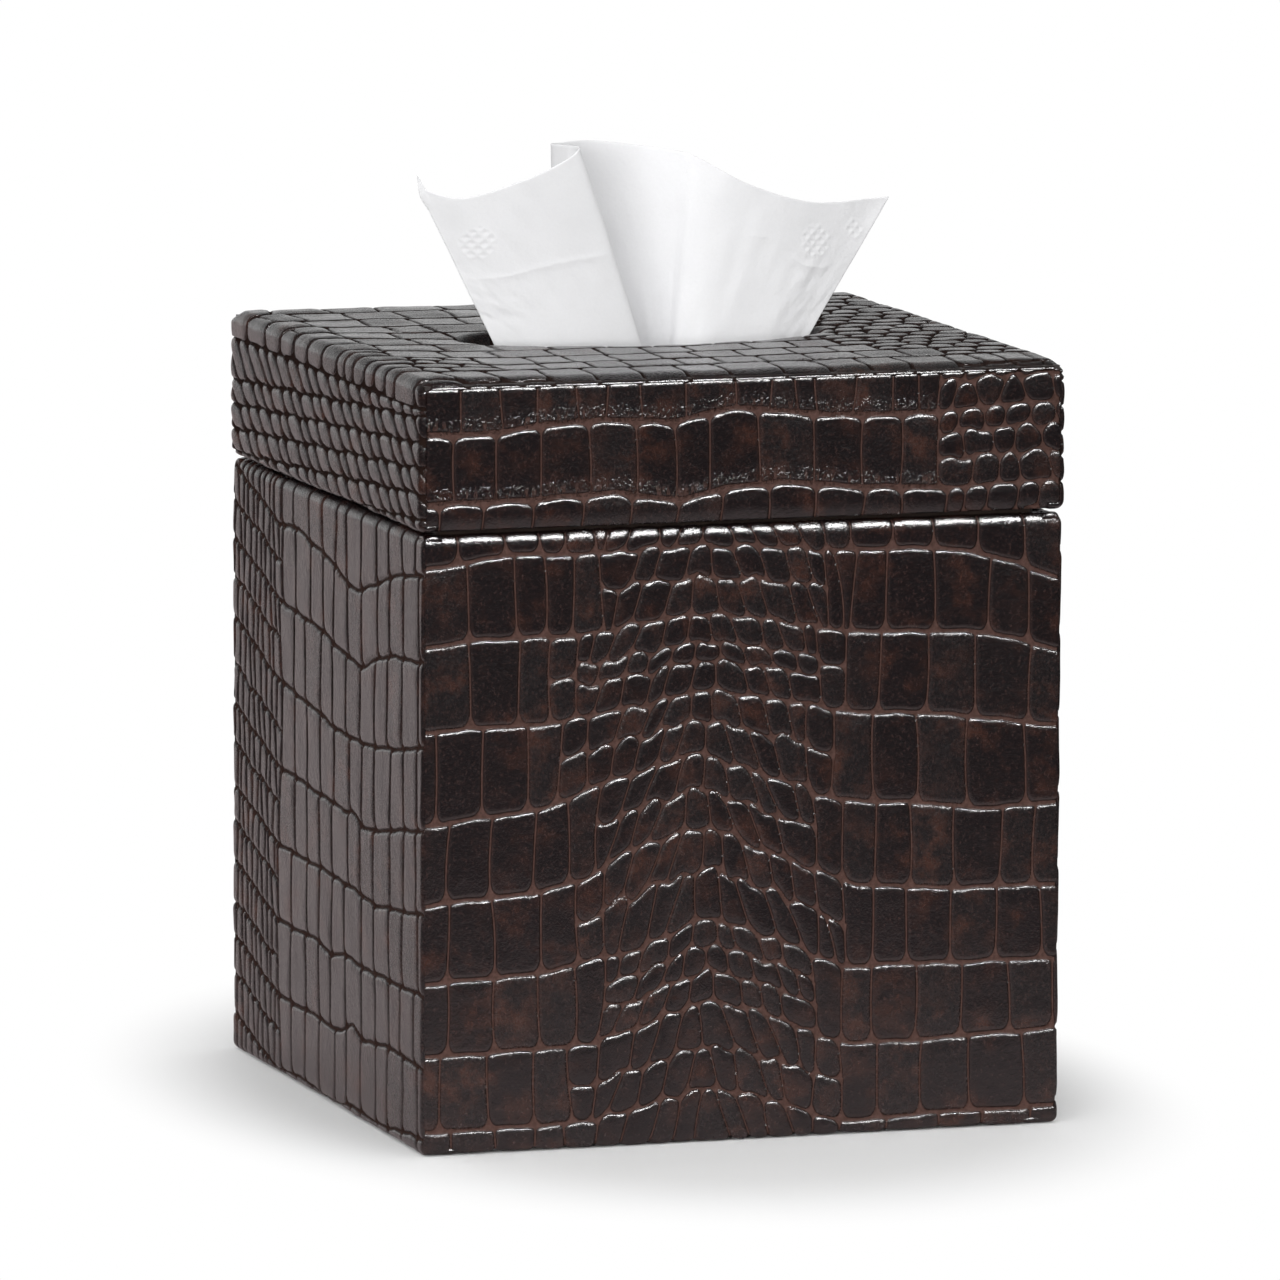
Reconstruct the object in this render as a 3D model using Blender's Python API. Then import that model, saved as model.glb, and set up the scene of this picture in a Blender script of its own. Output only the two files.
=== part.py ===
"""Tissue box cover, built as a leather-covered shoulder box round a cube carton of tissues.

The lid lifts straight off a suede collar, and a sheet is drawn up through the lid's oval opening.
Metres, +Z up, +X to the right seen from the front, -Y at the front.
The origin is at the middle of the underside, and both moving groups slide along the Z axis.
"""
import math

import bmesh
import bpy
import numpy as np

MM = 0.001

# Carton of tissues, which sets the size of the cover round it
CARTON_WIDTH = 110.0 * MM
CARTON_DEPTH = 110.0 * MM
CARTON_HEIGHT = 125.0 * MM
CARTON_BOARD = 0.6 * MM
CARTON_SIDE_ROOM = 2.9 * MM
CARTON_HEAD_ROOM = 16.9 * MM
MOUTH_LENGTH = 80.0 * MM
MOUTH_WIDTH = 38.0 * MM
STACK_SIDE_ROOM = 1.5 * MM
STACK_HEAD_ROOM = 12.0 * MM
STACK_CORNER_RADIUS = 1.2 * MM

# Lid and body
LID_HEIGHT = 29.7 * MM
LID_OVERHANG = 0.5 * MM
REVEAL = 0.8 * MM
SEAT_GAP = 0.3 * MM

# Boards under the leather
LID_BOARD = 2.5 * MM
COLLAR_BOARD = 2.0 * MM
BASE_BOARD = 3.0 * MM

# Suede inside, and the pad underneath
LID_LINING = 0.6 * MM
COLLAR_SUEDE = 0.5 * MM
FLOOR_SUEDE = 0.5 * MM

# Leather outside
LEATHER = 1.0 * MM
LEATHER_EDGE_RADIUS = 1.8 * MM
PANEL_INSET = 1.1 * MM
SEAM_DROP = 1.9 * MM
BASE_TURN_IN = 8.0 * MM
FLOOR_STAND_OFF = 0.3 * MM

# Oval opening in the lid, measured inside the leather that rolls into it
OPENING_LENGTH = 72.0 * MM
OPENING_WIDTH = 32.0 * MM
OPENING_ROLL = 3.5 * MM

# Drawn sheet: its spread and depth at the top edge, its height above the lid
SHEET_SPREAD = 98.5 * MM
SHEET_DEPTH = 22.0 * MM
SHEET_STAND = 38.5 * MM
SHEET_THICKNESS = 0.4 * MM

# How finely round shapes are divided
OVAL_SIDES = 48
ROLL_STEPS = 5
EDGE_STEPS = 3
SHEET_STEPS_BETWEEN_COLUMNS = 4
SHEET_ROWS_ABOVE_LID = 6
SHEET_ROWS_IN_LID = 3
SHEET_ROWS_IN_CARTON = 2

# Cutters run this far past what they cut
OVERRUN = 2.0 * MM

# One row for each upright line of the drawn sheet, from its left edge to its right edge.
# Top edge: x and y as shares of half the spread and half the depth, z of the stand above the lid.
# Opening: x and y as shares of half its length and width. Carton mouth: the same for the mouth.
SHEET_COLUMN_SHARES = [
    (-0.938, 0.12, 0.78, -0.870, 0.00, -0.525, 0.00),
    (-0.775, -0.29, 0.74, -0.680, -0.19, -0.400, -0.06),
    (-0.563, -0.76, 0.83, -0.417, -0.34, -0.225, -0.12),
    (-0.407, -1.03, 0.93, -0.190, -0.39, -0.090, -0.14),
    (-0.337, -1.01, 1.00, -0.070, -0.35, -0.012, -0.13),
    (-0.358, -0.50, 1.00, -0.120, -0.16, -0.040, -0.05),
    (-0.367, 0.20, 0.99, -0.165, 0.07, -0.062, 0.04),
    (-0.309, 0.65, 0.98, -0.110, 0.22, -0.035, 0.09),
    (-0.144, 0.94, 0.98, 0.014, 0.34, 0.025, 0.12),
    (0.054, 0.82, 0.95, 0.111, 0.25, 0.075, 0.09),
    (0.177, 0.41, 0.93, 0.172, 0.05, 0.115, 0.03),
    (0.261, 0.06, 0.89, 0.211, -0.15, 0.165, -0.05),
    (0.448, -0.12, 0.76, 0.361, -0.25, 0.262, -0.09),
    (0.731, 0.06, 0.65, 0.667, -0.16, 0.400, -0.06),
    (1.068, 0.47, 0.65, 0.950, 0.04, 0.560, 0.02),
]
# Where the sheet leaves the stack it is drawn together to this share of its size at the mouth
SHEET_TAIL_SHARE = 0.86

# Heights, from the floor up
LEATHER_BOTTOM = FLOOR_STAND_OFF
BASE_PAD_TOP = LEATHER_BOTTOM + LEATHER
BOARD_BOTTOM = BASE_PAD_TOP + SEAT_GAP
BASE_BOARD_TOP = BOARD_BOTTOM + BASE_BOARD
LINER_BOTTOM = BASE_BOARD_TOP + SEAT_GAP
FLOOR_SUEDE_TOP = LINER_BOTTOM + FLOOR_SUEDE
CARTON_BOTTOM = FLOOR_SUEDE_TOP + SEAT_GAP
CARTON_TOP = CARTON_BOTTOM + CARTON_HEIGHT
STACK_BOTTOM = CARTON_BOTTOM + CARTON_BOARD + SEAT_GAP
STACK_TOP = CARTON_TOP - CARTON_BOARD - STACK_HEAD_ROOM
LID_LINING_BOTTOM = CARTON_TOP + CARTON_HEAD_ROOM
LID_LINING_TOP = LID_LINING_BOTTOM + LID_LINING
LID_BOARD_BOTTOM = LID_LINING_TOP + SEAT_GAP
LID_BOARD_TOP = LID_BOARD_BOTTOM + LID_BOARD
LID_TOP = LID_BOARD_TOP + SEAT_GAP + LEATHER
LID_BOTTOM = LID_TOP - LID_HEIGHT
SEAM_HEIGHT = LID_TOP - SEAM_DROP
BODY_TOP = LID_BOTTOM - REVEAL
COLLAR_TOP = LID_LINING_BOTTOM - SEAT_GAP

# Insets outwards from the carton's sides, the same in width and in depth
COLLAR_INNER = CARTON_SIDE_ROOM
COLLAR_BOARD_INNER = COLLAR_INNER + COLLAR_SUEDE + SEAT_GAP
COLLAR_BOARD_OUTER = COLLAR_BOARD_INNER + COLLAR_BOARD
COLLAR_OUTER = COLLAR_BOARD_OUTER + SEAT_GAP + COLLAR_SUEDE
WALL_INNER = COLLAR_OUTER + SEAT_GAP
LID_LINING_OUTER = WALL_INNER + LID_LINING
LID_BOARD_INNER = LID_LINING_OUTER + SEAT_GAP
LID_BOARD_OUTER = LID_BOARD_INNER + LID_BOARD
LID_LEATHER_INNER = LID_BOARD_OUTER + SEAT_GAP
LID_OUTER = LID_LEATHER_INNER + LEATHER
BODY_OUTER = LID_OUTER - LID_OVERHANG
BODY_LEATHER_INNER = BODY_OUTER - LEATHER
WALL_OUTER = BODY_LEATHER_INNER - SEAT_GAP


def halves(outset):
    """Half the width and half the depth of a rectangle this far outside the carton."""
    return CARTON_WIDTH / 2 + outset, CARTON_DEPTH / 2 + outset


def clear_scene():
    for obj in list(bpy.data.objects):
        bpy.data.objects.remove(obj, do_unlink=True)


def make_material(name, colour, roughness):
    material = bpy.data.materials.new(name)
    material.use_nodes = True
    shader = material.node_tree.nodes["Principled BSDF"]
    shader.inputs["Base Color"].default_value = (*colour, 1.0)
    shader.inputs["Roughness"].default_value = roughness
    shader.inputs["Metallic"].default_value = 0.0
    return material


def make_joint_axis(name, parent=None):
    """An empty on the joint's axis, which carries the pieces that slide along it."""
    axis = bpy.data.objects.new(name, None)
    bpy.context.collection.objects.link(axis)
    axis.parent = parent
    return axis


def add_object(name, mesh, material=None, parent=None, centre=(0.0, 0.0, 0.0)):
    obj = bpy.data.objects.new(name, mesh)
    bpy.context.collection.objects.link(obj)
    obj.location = centre
    obj.parent = parent
    if material is not None:
        mesh.materials.append(material)
    return obj


def mesh_from(name, bm):
    bmesh.ops.recalc_face_normals(bm, faces=bm.faces)
    mesh = bpy.data.meshes.new(name)
    bm.to_mesh(mesh)
    bm.free()
    return mesh


def as_cutter(obj):
    obj.hide_render = True
    obj.display_type = "WIRE"
    return obj


def combine(obj, cutter, operation="DIFFERENCE"):
    modifier = obj.modifiers.new(f"{operation.lower()}_{cutter.name}", "BOOLEAN")
    modifier.operation = operation
    modifier.solver = "EXACT"
    modifier.object = cutter


def add_box(name, low, high, material=None, parent=None, edge_radius=0.0):
    """A box between two corners, with its origin at its middle."""
    size = [top - bottom for bottom, top in zip(low, high)]
    centre = [(top + bottom) / 2 for bottom, top in zip(low, high)]
    bm = bmesh.new()
    bmesh.ops.create_cube(bm, size=1.0)
    bmesh.ops.scale(bm, vec=size, verts=bm.verts)
    if edge_radius > 0.0:
        bmesh.ops.bevel(
            bm, geom=bm.edges[:], offset=edge_radius, segments=EDGE_STEPS,
            profile=0.5, affect="EDGES", clamp_overlap=True)
    return add_object(name, mesh_from(name, bm), material, parent, centre)


def loft(name, rings, closed_path, material=None, parent=None):
    """Join rings of equal point counts, capping both ends or joining the last ring to the first."""
    bm = bmesh.new()
    rows = [[bm.verts.new(point) for point in ring] for ring in rings]
    pairs = list(zip(rows, rows[1:]))
    if closed_path:
        pairs.append((rows[-1], rows[0]))
    for lower, upper in pairs:
        count = len(lower)
        for i in range(count):
            j = (i + 1) % count
            bm.faces.new((lower[i], lower[j], upper[j], upper[i]))
    if not closed_path:
        bm.faces.new(rows[0])
        bm.faces.new(rows[-1])
    return add_object(name, mesh_from(name, bm), material, parent)


def rectangle(outset, z):
    half_x, half_y = halves(outset)
    return [(-half_x, -half_y, z), (half_x, -half_y, z), (half_x, half_y, z), (-half_x, half_y, z)]


def oval(length, width, outset, z):
    """An ellipse moved outwards by one distance all round."""
    half_x = length / 2
    half_y = width / 2
    points = []
    for i in range(OVAL_SIDES):
        angle = 2 * math.pi * i / OVAL_SIDES
        normal_x = half_y * math.cos(angle)
        normal_y = half_x * math.sin(angle)
        normal_length = math.hypot(normal_x, normal_y)
        x = half_x * math.cos(angle) + outset * normal_x / normal_length
        y = half_y * math.sin(angle) + outset * normal_y / normal_length
        points.append((x, y, z))
    return points


def opening_plug(name, depth_under_leather, z_low, z_high):
    """The lid's opening as a solid whose rim flares along the roll of the leather.

    A depth of zero gives the leather's own surface, and more depth a layer under it.
    """
    radius = OPENING_ROLL - depth_under_leather
    roll_centre = LID_TOP - OPENING_ROLL
    rings = [oval(OPENING_LENGTH, OPENING_WIDTH, depth_under_leather, z_low)]
    for i in range(ROLL_STEPS + 1):
        angle = math.pi / 2 * i / ROLL_STEPS
        outset = OPENING_ROLL - radius * math.cos(angle)
        z = roll_centre + radius * math.sin(angle)
        rings.append(oval(OPENING_LENGTH, OPENING_WIDTH, outset, z))
    rings.append(oval(OPENING_LENGTH, OPENING_WIDTH, OPENING_ROLL, z_high))
    return as_cutter(loft(name, rings, closed_path=False))


def panel_region(name, outset, z_low, z_high, y_sign, grow):
    """The part of a leather shell that its front or back panel takes, mitred at the corners.

    y_sign is -1 at the front and 1 at the back. The region is grown on all its sides.
    """
    half_x, half_y = halves(outset)
    side = half_x - PANEL_INSET
    corner = half_y - PANEL_INSET
    reach = BASE_TURN_IN + OVERRUN
    mitre_shift = math.sqrt(2.0) * grow
    outline = [
        (-side - grow, half_y + OVERRUN),
        (side + grow, half_y + OVERRUN),
        (side + grow, corner + grow - mitre_shift),
        (side - reach, corner - reach - mitre_shift),
        (reach - side, corner - reach - mitre_shift),
        (-side - grow, corner + grow - mitre_shift),
    ]
    rings = [[(x, y_sign * y, z) for x, y in outline] for z in (z_low, z_high)]
    return as_cutter(loft(name, rings, closed_path=False))


def four_sides(prefix, inner, outer, z_low, z_high, material, parent):
    """Left and right boards over the full depth, with the front and back boards between them."""
    in_x, in_y = halves(inner)
    out_x, out_y = halves(outer)
    between = in_x - SEAT_GAP
    add_box(f"{prefix}_left", (-out_x, -out_y, z_low), (-in_x, out_y, z_high), material, parent)
    add_box(f"{prefix}_right", (in_x, -out_y, z_low), (out_x, out_y, z_high), material, parent)
    add_box(f"{prefix}_front", (-between, -out_y, z_low), (between, -in_y, z_high), material, parent)
    add_box(f"{prefix}_back", (-between, in_y, z_low), (between, out_y, z_high), material, parent)


def leather_block(name, outset, z_low, z_high, material, parent):
    half_x, half_y = halves(outset)
    low = (-half_x, -half_y, z_low)
    high = (half_x, half_y, z_high)
    return add_box(name, low, high, material, parent, edge_radius=LEATHER_EDGE_RADIUS)


def build_lid_boards(materials, lid):
    out_x, out_y = halves(LID_BOARD_OUTER)
    top_board = add_box(
        "lid_top_board", (-out_x, -out_y, LID_BOARD_BOTTOM), (out_x, out_y, LID_BOARD_TOP),
        materials["board"], lid)
    hole = opening_plug(
        "lid_board_hole", LEATHER + SEAT_GAP, LID_LINING_BOTTOM - OVERRUN, LID_TOP + OVERRUN)
    combine(top_board, hole)
    four_sides(
        "lid_wall", LID_BOARD_INNER, LID_BOARD_OUTER, LID_BOTTOM + LEATHER + SEAT_GAP,
        LID_BOARD_BOTTOM - SEAT_GAP, materials["board"], lid)


def build_lid_lining(materials, lid):
    out_x, out_y = halves(LID_LINING_OUTER)
    lining = add_box(
        "lid_lining_top", (-out_x, -out_y, LID_LINING_BOTTOM), (out_x, out_y, LID_LINING_TOP),
        materials["suede"], lid)
    hole = opening_plug(
        "lid_lining_hole", LEATHER + SEAT_GAP, LID_LINING_BOTTOM - OVERRUN, LID_TOP + OVERRUN)
    combine(lining, hole)
    four_sides(
        "lid_lining", WALL_INNER, LID_LINING_OUTER, LID_BOTTOM + SEAT_GAP,
        LID_LINING_BOTTOM - SEAT_GAP, materials["suede"], lid)


def build_lid_leather(materials, lid):
    """One sheet over the left side, the top and the right side, and a panel front and back."""
    core = as_cutter(loft("lid_leather_core", [
        rectangle(LID_BOARD_INNER, LID_BOTTOM - OVERRUN),
        rectangle(LID_BOARD_INNER, LID_BOTTOM + LEATHER),
        rectangle(LID_LEATHER_INNER, LID_BOTTOM + LEATHER),
        rectangle(LID_LEATHER_INNER, LID_TOP - LEATHER),
    ], closed_path=False))
    rolled_in = opening_plug(
        "lid_leather_rolled_in", LEATHER, LID_LINING_BOTTOM, LID_TOP + OVERRUN)
    combine(core, rolled_in)
    opening = opening_plug(
        "lid_leather_opening", 0.0, LID_LINING_BOTTOM - OVERRUN, LID_TOP + OVERRUN)

    wrap = leather_block(
        "lid_leather_wrap", LID_OUTER, LID_BOTTOM, LID_TOP, materials["leather"], lid)
    combine(wrap, core)
    combine(wrap, opening)
    for side, y_sign in (("front", -1), ("back", 1)):
        z_low = LID_BOTTOM - OVERRUN
        room = panel_region(
            f"lid_{side}_room", LID_OUTER, z_low, SEAM_HEIGHT + SEAT_GAP / 2,
            y_sign, SEAT_GAP / 2)
        combine(wrap, room)
        region = panel_region(
            f"lid_{side}_region", LID_OUTER, z_low, SEAM_HEIGHT - SEAT_GAP / 2,
            y_sign, -SEAT_GAP / 2)
        panel = leather_block(
            f"lid_leather_{side}", LID_OUTER, LID_BOTTOM, LID_TOP, materials["leather"], lid)
        combine(panel, core)
        combine(panel, region, "INTERSECT")


def build_body_boards(materials):
    four_sides(
        "body_wall", WALL_INNER, WALL_OUTER, BOARD_BOTTOM, BODY_TOP - LEATHER - SEAT_GAP,
        materials["board"], None)
    half_x, half_y = halves(COLLAR_OUTER)
    add_box(
        "base_board", (-half_x, -half_y, BOARD_BOTTOM), (half_x, half_y, BASE_BOARD_TOP),
        materials["board"])
    pad_x, pad_y = halves(BODY_OUTER - BASE_TURN_IN - SEAT_GAP)
    add_box("base_pad", (-pad_x, -pad_y, 0.0), (pad_x, pad_y, BASE_PAD_TOP), materials["felt"])


def build_body_leather(materials):
    """Four sheets, each turned over the rim to the collar and in under the base."""
    core = as_cutter(loft("body_leather_core", [
        rectangle(BODY_OUTER - BASE_TURN_IN, LEATHER_BOTTOM - OVERRUN),
        rectangle(BODY_OUTER - BASE_TURN_IN, LEATHER_BOTTOM + LEATHER),
        rectangle(BODY_LEATHER_INNER, LEATHER_BOTTOM + LEATHER),
        rectangle(BODY_LEATHER_INNER, BODY_TOP - LEATHER),
        rectangle(WALL_INNER, BODY_TOP - LEATHER),
        rectangle(WALL_INNER, BODY_TOP + OVERRUN),
    ], closed_path=False))
    z_low = LEATHER_BOTTOM - OVERRUN
    z_high = BODY_TOP + OVERRUN
    rooms = []
    for side, y_sign in (("front", -1), ("back", 1)):
        region = panel_region(
            f"body_{side}_region", BODY_OUTER, z_low, z_high, y_sign, -SEAT_GAP / 2)
        panel = leather_block(
            f"body_leather_{side}", BODY_OUTER, LEATHER_BOTTOM, BODY_TOP, materials["leather"], None)
        combine(panel, core)
        combine(panel, region, "INTERSECT")
        rooms.append(panel_region(
            f"body_{side}_room", BODY_OUTER, z_low, z_high, y_sign, SEAT_GAP / 2))
    half_x, half_y = halves(BODY_OUTER + OVERRUN)
    for side, x_range in (("left", (-half_x, 0.0)), ("right", (0.0, half_x))):
        half_space = as_cutter(add_box(
            f"body_{side}_half", (x_range[0], -half_y, z_low), (x_range[1], half_y, z_high)))
        sheet = leather_block(
            f"body_leather_{side}", BODY_OUTER, LEATHER_BOTTOM, BODY_TOP, materials["leather"], None)
        combine(sheet, core)
        for room in rooms:
            combine(sheet, room)
        combine(sheet, half_space, "INTERSECT")


def build_collar(materials):
    """Four boards that stand on the base and rise into the lid, in one suede sleeve."""
    four_sides(
        "collar_board", COLLAR_BOARD_INNER, COLLAR_BOARD_OUTER, LINER_BOTTOM,
        COLLAR_TOP - COLLAR_SUEDE - SEAT_GAP, materials["board"], None)
    channel_top = COLLAR_TOP - COLLAR_SUEDE
    channel_inner = COLLAR_INNER + COLLAR_SUEDE
    channel_outer = COLLAR_OUTER - COLLAR_SUEDE
    loft("collar_suede", [
        rectangle(COLLAR_OUTER, LINER_BOTTOM),
        rectangle(COLLAR_OUTER, COLLAR_TOP),
        rectangle(COLLAR_INNER, COLLAR_TOP),
        rectangle(COLLAR_INNER, LINER_BOTTOM),
        rectangle(channel_inner, LINER_BOTTOM),
        rectangle(channel_inner, channel_top),
        rectangle(channel_outer, channel_top),
        rectangle(channel_outer, LINER_BOTTOM),
    ], closed_path=True, material=materials["suede"])
    half_x, half_y = halves(COLLAR_INNER - SEAT_GAP)
    add_box(
        "floor_suede", (-half_x, -half_y, LINER_BOTTOM), (half_x, half_y, FLOOR_SUEDE_TOP),
        materials["suede"])


def build_carton(materials):
    inner = -CARTON_BOARD
    walls_top = CARTON_TOP - CARTON_BOARD - SEAT_GAP
    half_x, half_y = halves(0.0)
    walls = add_box(
        "carton_walls", (-half_x, -half_y, CARTON_BOTTOM), (half_x, half_y, walls_top),
        materials["carton"])
    in_x, in_y = halves(inner)
    hollow = as_cutter(add_box(
        "carton_hollow", (-in_x, -in_y, CARTON_BOTTOM + CARTON_BOARD),
        (in_x, in_y, walls_top + OVERRUN)))
    combine(walls, hollow)

    top = add_box(
        "carton_top", (-half_x, -half_y, CARTON_TOP - CARTON_BOARD), (half_x, half_y, CARTON_TOP),
        materials["carton"])
    mouth = as_cutter(loft("carton_mouth", [
        oval(MOUTH_LENGTH, MOUTH_WIDTH, 0.0, CARTON_TOP - CARTON_BOARD - OVERRUN),
        oval(MOUTH_LENGTH, MOUTH_WIDTH, 0.0, CARTON_TOP + OVERRUN),
    ], closed_path=False))
    combine(top, mouth)

    stack_x, stack_y = halves(inner - STACK_SIDE_ROOM)
    add_box(
        "tissue_stack", (-stack_x, -stack_y, STACK_BOTTOM), (stack_x, stack_y, STACK_TOP),
        materials["tissue"], edge_radius=STACK_CORNER_RADIUS)


def smooth_through(points, steps):
    """Points of a Catmull-Rom curve through the given ones, with this many steps between two."""
    points = np.asarray(points, dtype=float)
    before = 2 * points[0] - points[1]
    after = 2 * points[-1] - points[-2]
    padded = np.vstack([before, points, after])
    curve = []
    for i in range(len(points) - 1):
        p0, p1, p2, p3 = padded[i:i + 4]
        for step in range(steps):
            t = step / steps
            curve.append(0.5 * (
                2 * p1 + (p2 - p0) * t
                + (2 * p0 - 5 * p1 + 4 * p2 - p3) * t ** 2
                + (3 * p1 - p0 - 3 * p2 + p3) * t ** 3))
    curve.append(points[-1])
    return np.array(curve)


def sheet_levels():
    """The sheet's columns at the stack, the carton's mouth, the lid's opening and its top edge."""
    shares = np.array(SHEET_COLUMN_SHARES)
    top = np.column_stack([
        shares[:, 0] * SHEET_SPREAD / 2,
        shares[:, 1] * SHEET_DEPTH / 2,
        LID_TOP + shares[:, 2] * SHEET_STAND])
    opening = np.column_stack([
        shares[:, 3] * OPENING_LENGTH / 2,
        shares[:, 4] * OPENING_WIDTH / 2,
        np.full(len(shares), LID_TOP)])
    mouth = np.column_stack([
        shares[:, 5] * MOUTH_LENGTH / 2,
        shares[:, 6] * MOUTH_WIDTH / 2,
        np.full(len(shares), CARTON_TOP)])
    tail = mouth * (SHEET_TAIL_SHARE, SHEET_TAIL_SHARE, 0.0)
    tail[:, 2] = STACK_TOP + SEAT_GAP
    return tail, mouth, opening, top


def sheet_surface():
    """Rows of points up the middle of the drawn sheet's thickness, from its tail to its top edge."""
    tail, mouth, opening, top = [
        smooth_through(level, SHEET_STEPS_BETWEEN_COLUMNS) for level in sheet_levels()]
    rows = []
    stretches = (
        (tail, mouth, SHEET_ROWS_IN_CARTON),
        (mouth, opening, SHEET_ROWS_IN_LID),
        (opening, top, SHEET_ROWS_ABOVE_LID),
    )
    for lower, upper, count in stretches:
        for row in range(count):
            rows.append(lower + (upper - lower) * row / count)
    rows.append(top)
    return np.array(rows)


def build_sheet(materials, tissue):
    """The drawn sheet as a thin closed solid: a left flap in front, a fold back, a right flap."""
    middle = sheet_surface()
    across = np.gradient(middle, axis=1)
    upwards = np.gradient(middle, axis=0)
    normals = np.cross(across, upwards)
    normals /= np.linalg.norm(normals, axis=2, keepdims=True)
    offset = normals * SHEET_THICKNESS / 2
    bm = bmesh.new()
    front = [[bm.verts.new(point) for point in row] for row in middle + offset]
    back = [[bm.verts.new(point) for point in row] for row in middle - offset]
    row_count = len(front)
    column_count = len(front[0])
    for i in range(row_count - 1):
        for j in range(column_count - 1):
            bm.faces.new((front[i][j], front[i][j + 1], front[i + 1][j + 1], front[i + 1][j]))
            bm.faces.new((back[i][j], back[i + 1][j], back[i + 1][j + 1], back[i][j + 1]))
    for j in range(column_count - 1):
        bm.faces.new((front[0][j], back[0][j], back[0][j + 1], front[0][j + 1]))
        bm.faces.new((front[-1][j], front[-1][j + 1], back[-1][j + 1], back[-1][j]))
    for i in range(row_count - 1):
        bm.faces.new((front[i][0], front[i + 1][0], back[i + 1][0], back[i][0]))
        bm.faces.new((front[i][-1], back[i][-1], back[i + 1][-1], front[i + 1][-1]))
    bmesh.ops.triangulate(bm, faces=bm.faces)
    mesh = mesh_from("popup_tissue", bm)
    mesh.shade_smooth()
    add_object("popup_tissue", mesh, materials["tissue"], tissue)


def build():
    clear_scene()
    materials = {
        "leather": make_material("embossed_leather", (0.035, 0.018, 0.014), 0.32),
        "board": make_material("grey_board", (0.30, 0.24, 0.18), 0.85),
        "suede": make_material("brown_suede", (0.10, 0.060, 0.045), 0.95),
        "felt": make_material("base_felt", (0.020, 0.016, 0.015), 0.95),
        "carton": make_material("carton_card", (0.62, 0.60, 0.56), 0.70),
        "tissue": make_material("tissue_paper", (0.88, 0.88, 0.89), 0.90),
    }
    lid = make_joint_axis("lid_lift_axis")
    tissue = make_joint_axis("tissue_pull_axis", lid)
    build_body_boards(materials)
    build_body_leather(materials)
    build_collar(materials)
    build_carton(materials)
    build_lid_boards(materials, lid)
    build_lid_lining(materials, lid)
    build_lid_leather(materials, lid)
    build_sheet(materials, tissue)


build()
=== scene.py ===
import math
from collections import namedtuple

import bmesh
import bpy
import numpy as np
from mathutils import Matrix, Vector, geometry


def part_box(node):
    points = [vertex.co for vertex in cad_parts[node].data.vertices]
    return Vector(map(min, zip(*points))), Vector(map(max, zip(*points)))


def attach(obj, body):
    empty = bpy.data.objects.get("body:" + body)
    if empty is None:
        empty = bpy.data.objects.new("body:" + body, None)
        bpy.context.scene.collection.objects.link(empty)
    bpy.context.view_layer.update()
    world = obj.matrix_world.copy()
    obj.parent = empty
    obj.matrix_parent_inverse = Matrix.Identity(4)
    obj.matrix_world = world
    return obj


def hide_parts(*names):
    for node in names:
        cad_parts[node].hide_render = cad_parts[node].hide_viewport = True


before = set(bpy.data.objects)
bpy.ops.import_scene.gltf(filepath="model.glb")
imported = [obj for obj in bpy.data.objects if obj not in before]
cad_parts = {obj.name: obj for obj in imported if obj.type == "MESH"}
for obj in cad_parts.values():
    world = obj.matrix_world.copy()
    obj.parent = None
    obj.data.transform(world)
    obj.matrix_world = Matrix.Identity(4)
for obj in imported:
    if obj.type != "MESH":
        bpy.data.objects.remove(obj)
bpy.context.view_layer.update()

# Lengths are in millimetres, except in materials, lights and the camera, which are in metres.
MM = 0.001
RIGHT_ANGLE = math.pi / 2
TURN = 2 * math.pi

# Leather
PITCH = 0.42             # grid spacing on the sheets that the photo shows
HIDDEN_PITCH = 0.5
WALL = 0.40              # width of a groove's wall
DEPTH_ROW = 0.46         # of a wide groove along a row of tiles
DEPTH_DIVIDER = 0.34     # of a groove between neighbours
WIDE = 0.3               # the grid follows both walls of a groove whose half floor is over this
LEATHER = 1.0            # thickness of a sheet
SKIVED = 0.45            # its thickness at its cut edges
HIGHEST = 0.32           # how far the relief stands above the sheet's own surface
TOP_RELIEF = 0.5         # the relief on the lid's top is deeper by this share
UNEVEN = 0.10            # height of the leather's own slow unevenness
PUCKER = 0.13            # depth of the puckers at a tile's end
TILT_ACROSS, TILT_UP = 0.45, 0.30    # how far from level a scale may lie
ARC_SHARE = 0.85         # spacing on an edge's arc, as a share of the pitch
SNAP_REACH = 0.62        # a grid point within this share of the spacing moves onto a groove,
SNAP_MOST = 0.42         # and by this share at most
TURNED_PITCH = 1.4       # spacing where a sheet is turned under

# Pattern: row lines are held at these places, and zones run on past the sheets' edges
TABLE = np.arange(-136.0, 136.01, 0.25)
FAR = 80.0
OUTER = 110.0
WHOLE = 50.0             # a scale width that leaves a zone undivided
MEDIUM_ZONE = 5.6

# The holes that the tissue passes through, across and from front to back
OPENING = (72.0, 32.0)
MOUTH = (80.0, 38.0)
COLLAR_INSIDE = 57.9     # from the middle to the sleeve's inner face
CUT = 0.1                # how far a sheet's cut edges stay in from the faces around them


def span(node):
    low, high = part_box(node)
    return np.array(low) / MM, np.array(high) / MM


def smooth(x):
    x = np.clip(x, 0.0, 1.0)
    return x * x * (3.0 - 2.0 * x)


def steps(length, pitch, least=1):
    return max(least, int(round(length / pitch))) if length > 0 else 0


def divided(knots, counts):
    """The knots and the positions between them, each stretch in its own number of even steps."""
    parts = [np.linspace(low, high, count + 1)[:-1]
             for low, high, count in zip(knots, knots[1:], counts)]
    return np.concatenate(parts + [[knots[-1]]])


# ---------------------------------------------------------------- pattern

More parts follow.
